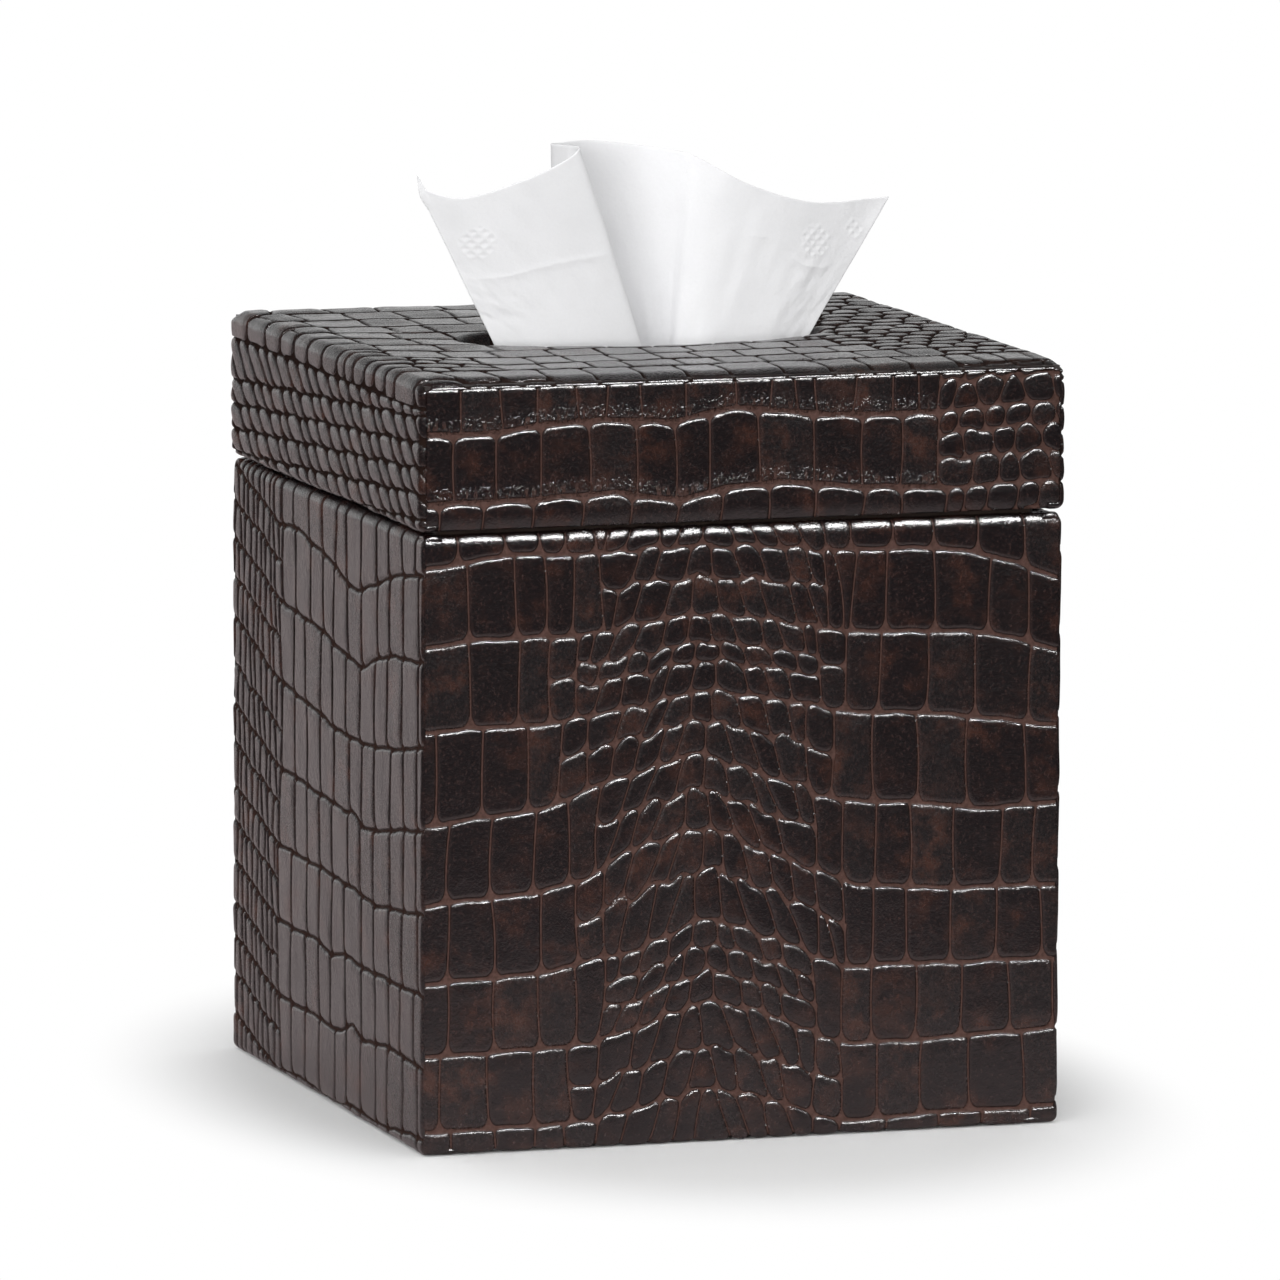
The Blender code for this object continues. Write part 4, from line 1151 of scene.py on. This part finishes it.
# Each column's place on the top edge (across, front to back, up), in the lid's opening and in the
# carton's mouth (across, front to back), as shares of half the size there, and of the stand
SHEET_COLUMNS = np.array([
    (-0.938, 0.12, 0.78, -0.870, 0.00, -0.525, 0.00),
    (-0.775, -0.29, 0.74, -0.680, -0.19, -0.400, -0.06),
    (-0.563, -0.76, 0.83, -0.417, -0.34, -0.225, -0.12),
    (-0.407, -1.03, 0.93, -0.190, -0.39, -0.090, -0.14),
    (-0.337, -1.01, 1.00, -0.070, -0.35, -0.012, -0.13),
    (-0.358, -0.50, 1.00, -0.120, -0.16, -0.040, -0.05),
    (-0.367, 0.20, 0.99, -0.165, 0.07, -0.062, 0.04),
    (-0.309, 0.65, 0.98, -0.110, 0.22, -0.035, 0.09),
    (-0.144, 0.94, 0.98, 0.014, 0.34, 0.025, 0.12),
    (0.054, 0.82, 0.95, 0.111, 0.25, 0.075, 0.09),
    (0.177, 0.41, 0.93, 0.172, 0.05, 0.115, 0.03),
    (0.261, 0.06, 0.89, 0.211, -0.15, 0.165, -0.05),
    (0.448, -0.12, 0.76, 0.361, -0.25, 0.262, -0.09),
    (0.740, 0.06, 0.65, 0.690, -0.16, 0.400, -0.06),
    (1.094, 0.47, 0.655, 1.014, 0.04, 0.560, 0.02),
])


def smooth_curve(points):
    """A curve through the points."""
    ends = np.vstack([2 * points[0] - points[1], points, 2 * points[-1] - points[-2]])
    t = np.linspace(0, 1, 24, endpoint=False)[:, None]
    return np.vstack([
        0.5 * (2 * p1 + (p2 - p0) * t + (2 * p0 - 5 * p1 + 4 * p2 - p3) * t ** 2
               + (3 * p1 - p0 - 3 * p2 + p3) * t ** 3)
        for p0, p1, p2, p3 in zip(ends, ends[1:], ends[2:], ends[3:])] + [points[-1:]])


def lattice_noise(x, y, seed):
    """Smooth random values between minus one and one on a unit lattice."""
    size = 64
    table = np.random.default_rng(seed).uniform(-1, 1, (size, size))
    i, j = np.floor(x).astype(int), np.floor(y).astype(int)
    fx, fy = smooth(x - i), smooth(y - j)

    def between(row):
        return table[i % size, row % size] * (1 - fx) + table[(i + 1) % size, row % size] * fx

    return between(j) * (1 - fy) + between(j + 1) * fy


def fold_line(x, z, height, *points):
    """A faint fold along a run of points: a ridge with a slight step."""
    width = 0.8
    total, best = np.zeros_like(x), np.full_like(x, np.inf)
    from_ends = np.minimum(*(np.hypot(x - a, z - b) for a, b in (points[0], points[-1])))
    for (x0, z0), (x1, z1) in zip(points, points[1:]):
        dx, dz = x1 - x0, z1 - z0
        t = np.clip(((x - x0) * dx + (z - z0) * dz) / (dx * dx + dz * dz), 0, 1)
        away = np.hypot(x - x0 - t * dx, z - z0 - t * dz)
        side = np.sign((z - z0) * dx - (x - x0) * dz)
        value = np.exp(-(away / width) ** 2) + 0.35 * side * np.exp(-away / (4 * width))
        total = np.where(away < best, value, total)
        best = np.minimum(best, away)
    return height * smooth(from_ends / 6.0) * total


def motif(x, z, cx, cz, radius):
    """A round patch of raised diamonds, pressed into the paper."""
    a, b = (x - cx) + (z - cz), (x - cx) - (z - cz)
    diamonds = np.maximum(np.cos(TURN * a / 2.3), np.cos(TURN * b / 2.3))
    return 0.08 * diamonds * smooth(radius - np.hypot(x - cx, z - cz))


def surface_normals(surface):
    return unit(np.cross(np.gradient(surface, axis=1), np.gradient(surface, axis=0)))


def drawn_sheet():
    """The sheet's middle surface, from its tail in the carton up to its top edge."""
    top_x, top_y, top_z, open_x, open_y, mouth_x, mouth_y = SHEET_COLUMNS.T
    tail_z, mouth_z = span("popup_tissue")[0][2], span("carton_top")[1][2]
    top = np.column_stack([top_x * SHEET_SPREAD / 2, top_y * SHEET_DEPTH / 2,
                           LID_TOP + top_z * SHEET_STAND])
    opening = np.column_stack([open_x * OPENING[0] / 2, open_y * OPENING[1] / 2,
                               np.full(len(top), LID_TOP)])
    # straight on from the top edge until it is out of sight in the opening
    opening += (opening - top) * (3.0 / (top[:, 2] - LID_TOP))[:, None]
    mouth = np.column_stack([mouth_x * MOUTH[0] / 2, mouth_y * MOUTH[1] / 2,
                             np.full(len(top), mouth_z)])
    tail = mouth * (0.86, 0.86, 0.0) + (0.0, 0.0, tail_z)
    levels = [smooth_curve(points) for points in (tail, mouth, opening, top)]
    stretches = np.linalg.norm(np.diff(levels[3], axis=0), axis=1)
    length = np.concatenate([[0], np.cumsum(stretches)])
    across = np.linspace(0, length[-1], SHEET_POINTS)
    levels = [np.column_stack([np.interp(across, length, points[:, k]) for k in range(3)])
              for points in levels]
    rows = [low + (high - low) * row / count
            for low, high, count in zip(levels, levels[1:], SHEET_ROWS) for row in range(count)]
    surface = np.array(rows + [levels[3]])
    x, z = surface[..., 0], surface[..., 2]
    share_up = np.clip((z - LID_TOP) / SHEET_STAND, 0, 1)
    left = smooth((across[LEFT_FLAP_END] - across) / 6.0)
    right = smooth((across - across[RIGHT_FLAP_START]) / 8.0)
    across = across + np.zeros_like(x)
    # pleats that gather towards the carton's mouth, and slow waves
    pleat = np.sin(across / 3.1 + 1.5 * np.sin(across / 13.0)) + 0.6 * np.sin(across / 1.7 + 2.0)
    lift = 0.22 * pleat * smooth((LID_TOP + 12.0 - z) / 40.0)
    lift += 0.30 * lattice_noise(across / 9.0, z / 16.0, 5)
    lift += 0.10 * lattice_noise(across / 3.2, z / 6.0, 6)
    # folds and emblems
    lift += left * (fold_line(x, z, 0.10, (-37.6, 163.6), (-29.0, 164.8), (-20.0, 167.3),
                              (-8.0, 169.3)) + motif(x, z, -34.9, 171.6, 3.8))
    lift += right * (fold_line(x, z, 0.13, (28.9, 167.8), (34.0, 164.6), (38.5, 163.8),
                               (42.2, 165.2)) + fold_line(x, z, 0.09, (20.0, 171.5), (29.0, 170.2))
                     + motif(x, z, 36.9, 169.6, 3.8) + motif(x, z, 46.0, 171.6, 2.6))
    # small slanting wrinkles low down by the two edges
    cz = 158.5
    for side, cx, lean, seed in ((left, -33.5, 0.8, 9), (0.55 * right, 38.0, -0.9, 10)):
        patch = side * np.exp(-((x - cx) / 7.5) ** 2 - ((z - cz) / 6.5) ** 2)
        along, cross = (x - cx) * lean + (z - cz), (x - cx) - (z - cz) * lean
        lift += patch * 0.17 * lattice_noise(along / 1.7, cross / 5.0, seed)
        lift += patch * 0.08 * lattice_noise(along / 0.9, cross / 3.0, seed + 3)
    surface += surface_normals(surface) * lift[..., None]
    # the back edge of the fold behind the left lobe stands upright before it narrows
    below = SHEET_STAND * (1 - share_up)
    behind = smooth((across - 36.0) / 4.0) * smooth((58.0 - across) / 5.0)
    surface[..., 0] -= 0.30 * below * behind * smooth((11.0 - below) / 6.0)
    # the corner that curls up at the left
    corner = smooth(1 - across / 1.9)
    curl = corner * smooth((share_up - 0.66) / 0.12)
    surface[..., 2] += 2.7 * curl
    surface[..., 1] -= 0.5 * curl
    surface[..., 0] -= corner * (smooth((share_up - 0.66) / 0.06)
                                 - 0.5 * smooth((share_up - 0.72) / 0.06))
    return surface


def thin_shell(name, surface, thickness):
    """A closed thin sheet about a grid of points, its edges rounded."""
    offset = surface_normals(surface) * thickness / 2
    rows, columns = surface.shape[:2]
    index, other = numbered(rows, columns), numbered(rows, columns, rows * columns)
    loop, twin = rim_indices(index), rim_indices(other)
    outwards = np.zeros_like(surface)
    for edge, inside in ((0, 1), (-1, -2)):
        outwards[edge] += unit(surface[edge] - surface[inside])
        outwards[:, edge] += unit(surface[:, edge] - surface[:, inside])
    rounded = surface.reshape(-1, 3)[loop] + unit(outwards.reshape(-1, 3)[loop]) * thickness / 2
    middle = 2 * rows * columns + np.arange(len(loop))
    faces = grid_faces(index) + grid_faces(other[:, ::-1])
    for quad in zip(*(k for ring in (loop, middle, twin) for k in (np.roll(ring, -1), ring))):
        after, this, after_middle, this_middle, after_twin, this_twin = (int(k) for k in quad)
        faces.append([after, this, this_middle, after_middle])
        faces.append([after_middle, this_middle, this_twin, after_twin])
    along, up = np.meshgrid(np.linspace(0, 1, columns), np.linspace(0, 1, rows))
    uv = np.stack([along.ravel(), up.ravel()], axis=1) * (0.98, 0.485) + (0.01, 0.005)
    points = np.vstack([(surface + offset).reshape(-1, 3), (surface - offset).reshape(-1, 3),
                        rounded])
    return make_mesh(name, points, faces, uv=np.vstack([uv, uv + (0.0, 0.505), uv[loop]]))


tissue = fit(thin_shell("drawn_tissue", drawn_sheet(), SHEET_THICKNESS), "sheet", "tissue",
             tissue_material("soft_tissue", (0.760, 0.760, 0.771)), "popup_tissue")


# ---------------------------------------------------------------- linings, sleeve, pad and stack

ROUND = np.linspace(0, RIGHT_ANGLE, 6)      # steps over a rounded edge


def clustered(low, high, radius, pitch):
    """Positions from low to high, close together where an edge is rounded."""
    turn = radius * (1 - np.cos(ROUND))
    count = max(2, int(round((high - low - 2 * radius) / pitch)))
    straight = np.linspace(low + radius, high - radius, count + 1)[1:-1]
    return np.concatenate([low + turn, straight, (high - turn)[::-1]])


def cloth(name, u, v, gap, low, high, axis, seed, uneven=0.05, ring=False):
    """A closed thin panel over a grid, with rounded edges and slightly uneven faces.

    gap is each point's distance from the nearest edge. A ring's grid runs once round a hole.
    """
    half = (high[axis] - low[axis]) / 2
    thick = half * np.sqrt(np.clip(1 - (1 - np.clip(gap / half, 0, 1)) ** 2, 0, 1))
    ripple = uneven * half * np.abs(fine_noise(u, v, seed)) * smooth(gap / 3.0)
    points = np.zeros((2,) + u.shape + (3,))
    a, b = [k for k in range(3) if k != axis]
    points[..., a], points[..., b] = u, v
    for face, sign in zip(points, (1, -1)):
        face[..., axis] = (high[axis] + low[axis]) / 2 + sign * (thick - ripple)
    index, other = numbered(*u.shape), numbered(*u.shape, u.size)
    for row in (0, -1):
        other[row] = index[row]
        if not ring:
            other[:, row] = index[:, row]
    if ring:
        index, other = joined(index), joined(other)
    faces = np.array(grid_faces(index) + grid_faces(other[:, ::-1]))
    used, faces = np.unique(faces, return_inverse=True)
    return make_mesh(name, points.reshape(-1, 3)[used], faces.reshape(-1, 4).tolist())


def soft_plate(name, low, high, axis, seed, uneven=0.05):
    """A panel of cloth, flat across one axis."""
    a, b = [k for k in range(3) if k != axis]
    half = (high[axis] - low[axis]) / 2
    u, v = np.meshgrid(*(clustered(low[k], high[k], half, 2.4) for k in (a, b)))
    gap = rim_gap(u, v, (low[a], low[b]), (high[a], high[b]))
    return cloth(name, u, v, gap, low, high, axis, seed, uneven)


def pierced_plate(name, low, high, hole, seed):
    """A level panel of cloth with an oval hole."""
    half = (high[2] - low[2]) / 2
    theta = np.linspace(0, TURN, 241)[:-1]
    way = np.column_stack([np.cos(theta), np.sin(theta)])
    inner = way * hole
    outer = way * (high[0] / np.abs(way).max(axis=1))[:, None]
    length = np.linalg.norm(outer - inner, axis=1)
    turn = half * (1 - np.cos(ROUND))
    shares = [d / length for d in turn]
    shares += [(half + (length - 2 * half) * s) / length for s in np.linspace(0, 1, 24)[1:-1]]
    shares += [1 - d / length for d in turn[::-1]]
    plane = np.array([inner + (outer - inner) * share[:, None] for share in shares])
    gap = np.minimum(*(np.linalg.norm(plane - rim, axis=2) for rim in (inner, outer)))
    return cloth(name, plane[..., 0], plane[..., 1], gap, low, high, 2, seed, ring=True)


def square_path(half, corner, pitch):
    """Points and outward normals once round a square with rounded corners."""
    points, normals = [], []
    straight = half - corner
    for turn in np.arange(4) * RIGHT_ANGLE:
        out = np.array([math.cos(turn), math.sin(turn)])
        along = np.array([-out[1], out[0]])
        for t in np.linspace(-straight, straight, steps(2 * straight, pitch) + 1)[:-1]:
            points.append(half * out + t * along)
            normals.append(out)
        for angle in np.linspace(turn, turn + RIGHT_ANGLE, 7)[:-1]:
            normal = np.array([math.cos(angle), math.sin(angle)])
            points.append(straight * (out + along) + corner * normal)
            normals.append(normal)
    return np.array(points), np.array(normals)


def collar_sleeve(name, low, high, inner, seed):
    """The cloth that covers both sides of a collar and turns over its top edge.

    inner is its inner face's place, measured outwards from its outer face.
    """
    thickness, radius, pitch, uneven = 0.72, 1.2, 2.4, 0.05
    bottom, top = low[2], high[2]
    over, rise = radius * (1 - np.cos(ROUND)), top - radius * (1 - np.sin(ROUND))
    up, down = np.linspace(bottom, top - radius, 30), np.linspace(top - radius, bottom, 30)
    inside = np.linspace(bottom, top - thickness, 30)
    outline = [(0.0 * up, up), (-over[1:], rise[1:]), (inner + over[:0:-1], rise[:0:-1]),
               (inner + 0.0 * down, down), (inner + thickness + 0.0 * inside, inside),
               (-thickness + 0.0 * inside, inside[::-1])]
    out, z = (np.concatenate(parts)[:, None] for parts in zip(*outline))
    path, normals = square_path(high[0], 1.6, pitch)
    along = np.arange(len(path))[None, :] * pitch + 0.0 * z
    out = out - uneven * np.abs(fine_noise(along, z + 0.0 * along, seed))
    grid = np.dstack([path + out[..., None] * normals, z + 0.0 * along])
    index = numbered(*grid.shape[:2])
    return make_mesh(name, grid.reshape(-1, 3), grid_faces(joined(np.vstack([index, index[:1]]))))


def folded_stack(name, low, high, layer, seed):
    """A pack of folded sheets: each shows as a rounded edge, and no two lie quite alike."""
    rng = np.random.default_rng(seed)
    path, normals = square_path(high[0], 2.5, 2.2)
    count = len(path)
    folded = np.abs(normals[:, 1])              # folds at front and back, cut edges at the sides
    layers = int(round((high[2] - low[2]) / layer))
    step = (high[2] - low[2]) / layers
    angle = np.arctan2(path[:, 1], path[:, 0])
    rings = []
    for k in range(layers):
        shift = rng.uniform(0.0, 0.5) + 0.25 * np.sin(3 * angle + rng.uniform(0, 6.3))
        ripple = 0.12 * step * np.sin(5 * angle + rng.uniform(0, 6.3))
        for share, inset in ((0.0, 0.55), (0.22, 0.12), (0.5, 0.0), (0.78, 0.12)):
            depth = np.clip(shift, 0.0, 0.8) + inset * (0.45 + 0.55 * folded)
            z = low[2] + (k + share) * step + ripple * (k + share > 0)
            rings.append(np.column_stack([path - depth[:, None] * normals, z]))
    # the uneven top of the pack, as shares of the outline and depths below the top
    for share, drop in ((0.996, 0.5), (0.985, 0.12), (0.9, 0.1), (0.75, 0.35), (0.5, 0.6),
                        (0.3, 0.55), (0.15, 0.3), (0.05, 0.05)):
        rings.append(np.column_stack([path * share, np.full(count, high[2] - drop)]))
    index = numbered(len(rings), count)
    faces = grid_faces(joined(index)) + [index[0, ::-1].tolist(), index[-1].tolist()]
    return make_mesh(name, np.vstack(rings), faces)


DARK_SUEDE = suede_material("dark_suede", (0.016, 0.011, 0.009), (0.034, 0.023, 0.018))
FELT = suede_material("black_felt", (0.012, 0.011, 0.011), (0.024, 0.022, 0.021), 0.0004)
BOARD = card_material("grey_board", (0.30, 0.26, 0.21), (0.13, 0.10, 0.075), 0.6, 900.0)
# a near-black board for the lid's top board, so that where it shows at the corners of the seams it
# reads dark
DARK_BOARD = card_material("dark_board", (0.020, 0.012, 0.010), (0.010, 0.007, 0.006), 0.6, 900.0)
CARD = card_material("white_card", (0.74, 0.73, 0.70), (0.52, 0.50, 0.47), 0.25, 1400.0)
STACK_PAPER = tissue_material("stack_tissue", (0.80, 0.80, 0.815), 1.2)

low, high = span("collar_suede")
fit(collar_sleeve("collar_sleeve", low, high, COLLAR_INSIDE - high[0], 21),
    "body", "suede", DARK_SUEDE, "collar_suede")
fit(soft_plate("floor_lining", *span("floor_suede"), 2, 22),
    "body", "suede", DARK_SUEDE, "floor_suede")
fit(soft_plate("base_felt", *span("base_pad"), 2, 23, 0.03), "body", "felt", FELT, "base_pad")
fit(pierced_plate("lid_lining_ceiling", *span("lid_lining_top"), (41.0, 21.0), 24),
    "lid", "suede", DARK_SUEDE, "lid_lining_top")
for side, axis in (("front", 1), ("back", 1), ("left", 0), ("right", 0)):
    node = "lid_lining_" + side
    fit(soft_plate(node + "_cloth", *span(node), axis, 25 + len(side)),
        "lid", "suede", DARK_SUEDE, node)
fit(folded_stack("folded_tissues", *span("tissue_stack"), 1.55, 31),
    "body", "tissue", STACK_PAPER, "tissue_stack")

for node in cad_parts:
    part = bpy.data.objects[node]
    for word, look in (("board", BOARD), ("wall", BOARD), ("lid_top_board", DARK_BOARD),
                       ("carton", CARD)):
        if word in node:
            part.data.materials.clear()
            part.data.materials.append(look)


# ---------------------------------------------------------------- stage, lights and camera

def backdrop_mask(n):
    """One towards the backdrop, which is behind the object and a little to its left, else zero."""
    level_way = n.vector("NORMALIZE", n.vector("MULTIPLY", n.place, (1, 1, 0)))
    turn = n.vector("DOT_PRODUCT", level_way, (-0.08, 0.997, 0.0), "Value")
    return n.ramp(turn, 0.72, 0.96)


def floor_material():
    n = Nodes(bpy.data.materials.new("floor_white"))
    glossy = n.rays("Glossy")
    near = n.vector("LENGTH", n.place, output="Value")
    # in reflections it is bright behind the object and close to it, and dim in front of it
    bright = n.math("MAXIMUM", n.line(backdrop_mask(n), 0.0, 1.0, 0.08, 0.66),
                    n.ramp(near, 0.13, 0.34, 0.6, 0.0))
    # less light comes up from the floor further off, so that the tissue is evenly lit
    tone = n.choose(n.rays("Diffuse"), n.choose(glossy, 0.75, bright),
                    n.ramp(near, 0.18, 0.45, 0.85, 0.15))
    paler = n.times(tone, n.line(glossy, 0.0, 1.0, 1.0, 0.87))
    colour = n.add("CombineColor", {0: tone, 1: paler, 2: paler})
    for key, value in (("Base Color", colour), ("Roughness", 0.9), ("Specular IOR Level", 0.0)):
        n.put(n.tree.nodes["Principled BSDF"].inputs[key], value)
    # far from the object it is plain white to the camera, so that its edge can't be seen; the
    # shadow reaches further to the front than to the sides
    far = n.vector("LENGTH", n.vector("MULTIPLY", n.place, (1.5, 1.0, 1.0)), output="Value")
    seen = n.times(n.ramp(far, 0.103, 0.163), n.rays("Camera"))
    blend = n.add("MixShader", {0: seen, 1: n.tree.nodes["Principled BSDF"].outputs[0],
                                2: n.add("Emission")})
    n.put(n.tree.nodes["Material Output"].inputs["Surface"], blend)
    return n.owner


def add_stage():
    mesh = bpy.data.meshes.new("floor")
    size = 4.0
    mesh.from_pydata([(-size, -size, 0), (size, -size, 0), (size, size, 0), (-size, size, 0)],
                     [], [(0, 1, 2, 3)])
    mesh.materials.append(floor_material())
    linked("floor", mesh)


def add_light(name, place, target, size, energy, unseen):
    data = bpy.data.lights.new(name, "AREA")
    data.shape = "RECTANGLE"
    data.energy = energy
    data.size, data.size_y = size
    light = linked(name, data)
    light.location = place
    light.rotation_euler = (Vector(target) - Vector(place)).to_track_quat("-Z", "Y").to_euler()
    setattr(light, unseen, False)


def add_camera():
    """The photo's camera, fitted to the corners of the box in it."""
    yaw, pitch, roll = math.radians(18.122), math.radians(7.912), math.radians(0.210)
    forward = Vector((math.sin(yaw) * math.cos(pitch), math.cos(yaw) * math.cos(pitch),
                      -math.sin(pitch)))
    right = Vector((math.cos(yaw), -math.sin(yaw), 0.0))
    up = right.cross(forward)
    turned_right = math.cos(roll) * right + math.sin(roll) * up
    turned_up = math.cos(roll) * up - math.sin(roll) * right
    data = bpy.data.cameras.new("camera")
    data.sensor_fit = "HORIZONTAL"
    data.sensor_width = 36.0
    data.lens = 12468.0 / 1280.0 * 36.0
    data.clip_start, data.clip_end = 0.05, 50.0
    camera = linked("camera", data)
    axes = Matrix((turned_right, turned_up, -forward)).transposed().to_4x4()
    camera.matrix_world = Matrix.Translation((-0.7695, -2.3512, 0.4342)) @ axes
    bpy.context.scene.camera = camera


def add_world():
    """White to the camera; in reflections a white backdrop, with the rest of the room dim."""
    world = bpy.data.worlds.new("studio")
    bpy.context.scene.world = world
    n = Nodes(world, "Generated")
    y, z = (n.add("SeparateXYZ", {0: n.place}, axis) for axis in "YZ")
    backdrop = n.times(n.times(backdrop_mask(n), n.line(z, 0.0, 0.50, 1.35, 0.06)), 0.80)
    glow = n.times(n.ramp(z, 0.0, 0.4, 0.0, 0.45), n.ramp(y, 0.1, -0.3))
    reflected = n.plus(n.math("MAXIMUM", backdrop, glow), 0.03)
    towards = n.vector("DOT_PRODUCT", n.place, (-0.62, -0.70, 0.20), "Value")
    seen = n.choose(n.rays("Diffuse"), reflected, n.ramp(towards, -0.6, 0.7, 0.70, 1.03))
    background = n.tree.nodes["Background"]
    n.put(background.inputs["Strength"], n.choose(n.rays("Camera"), seen, 1.0))
    n.put(background.inputs["Color"], (1, 1, 1))


add_stage()
add_camera()
add_world()
add_light("overhead", (0.0, 0.0, 1.25), (0, 0, 0.10), (1.1, 0.8), 1.4, "visible_glossy")
add_light("low_fill", (-0.76, -1.13, 0.30), (0, 0, 0.16), (0.7, 0.3), 8.2, "visible_glossy")
add_light("front_fill", (-1.15, -1.35, 0.55), (0, 0, 0.1), (1.4, 1.0), 5.7, "visible_glossy")
add_light("glint_strip", (0.20, -0.62, 1.12), (0, 0, 0.10), (1.2, 0.12), 74.0, "visible_diffuse")
bpy.context.scene.view_settings.view_transform = "Standard"
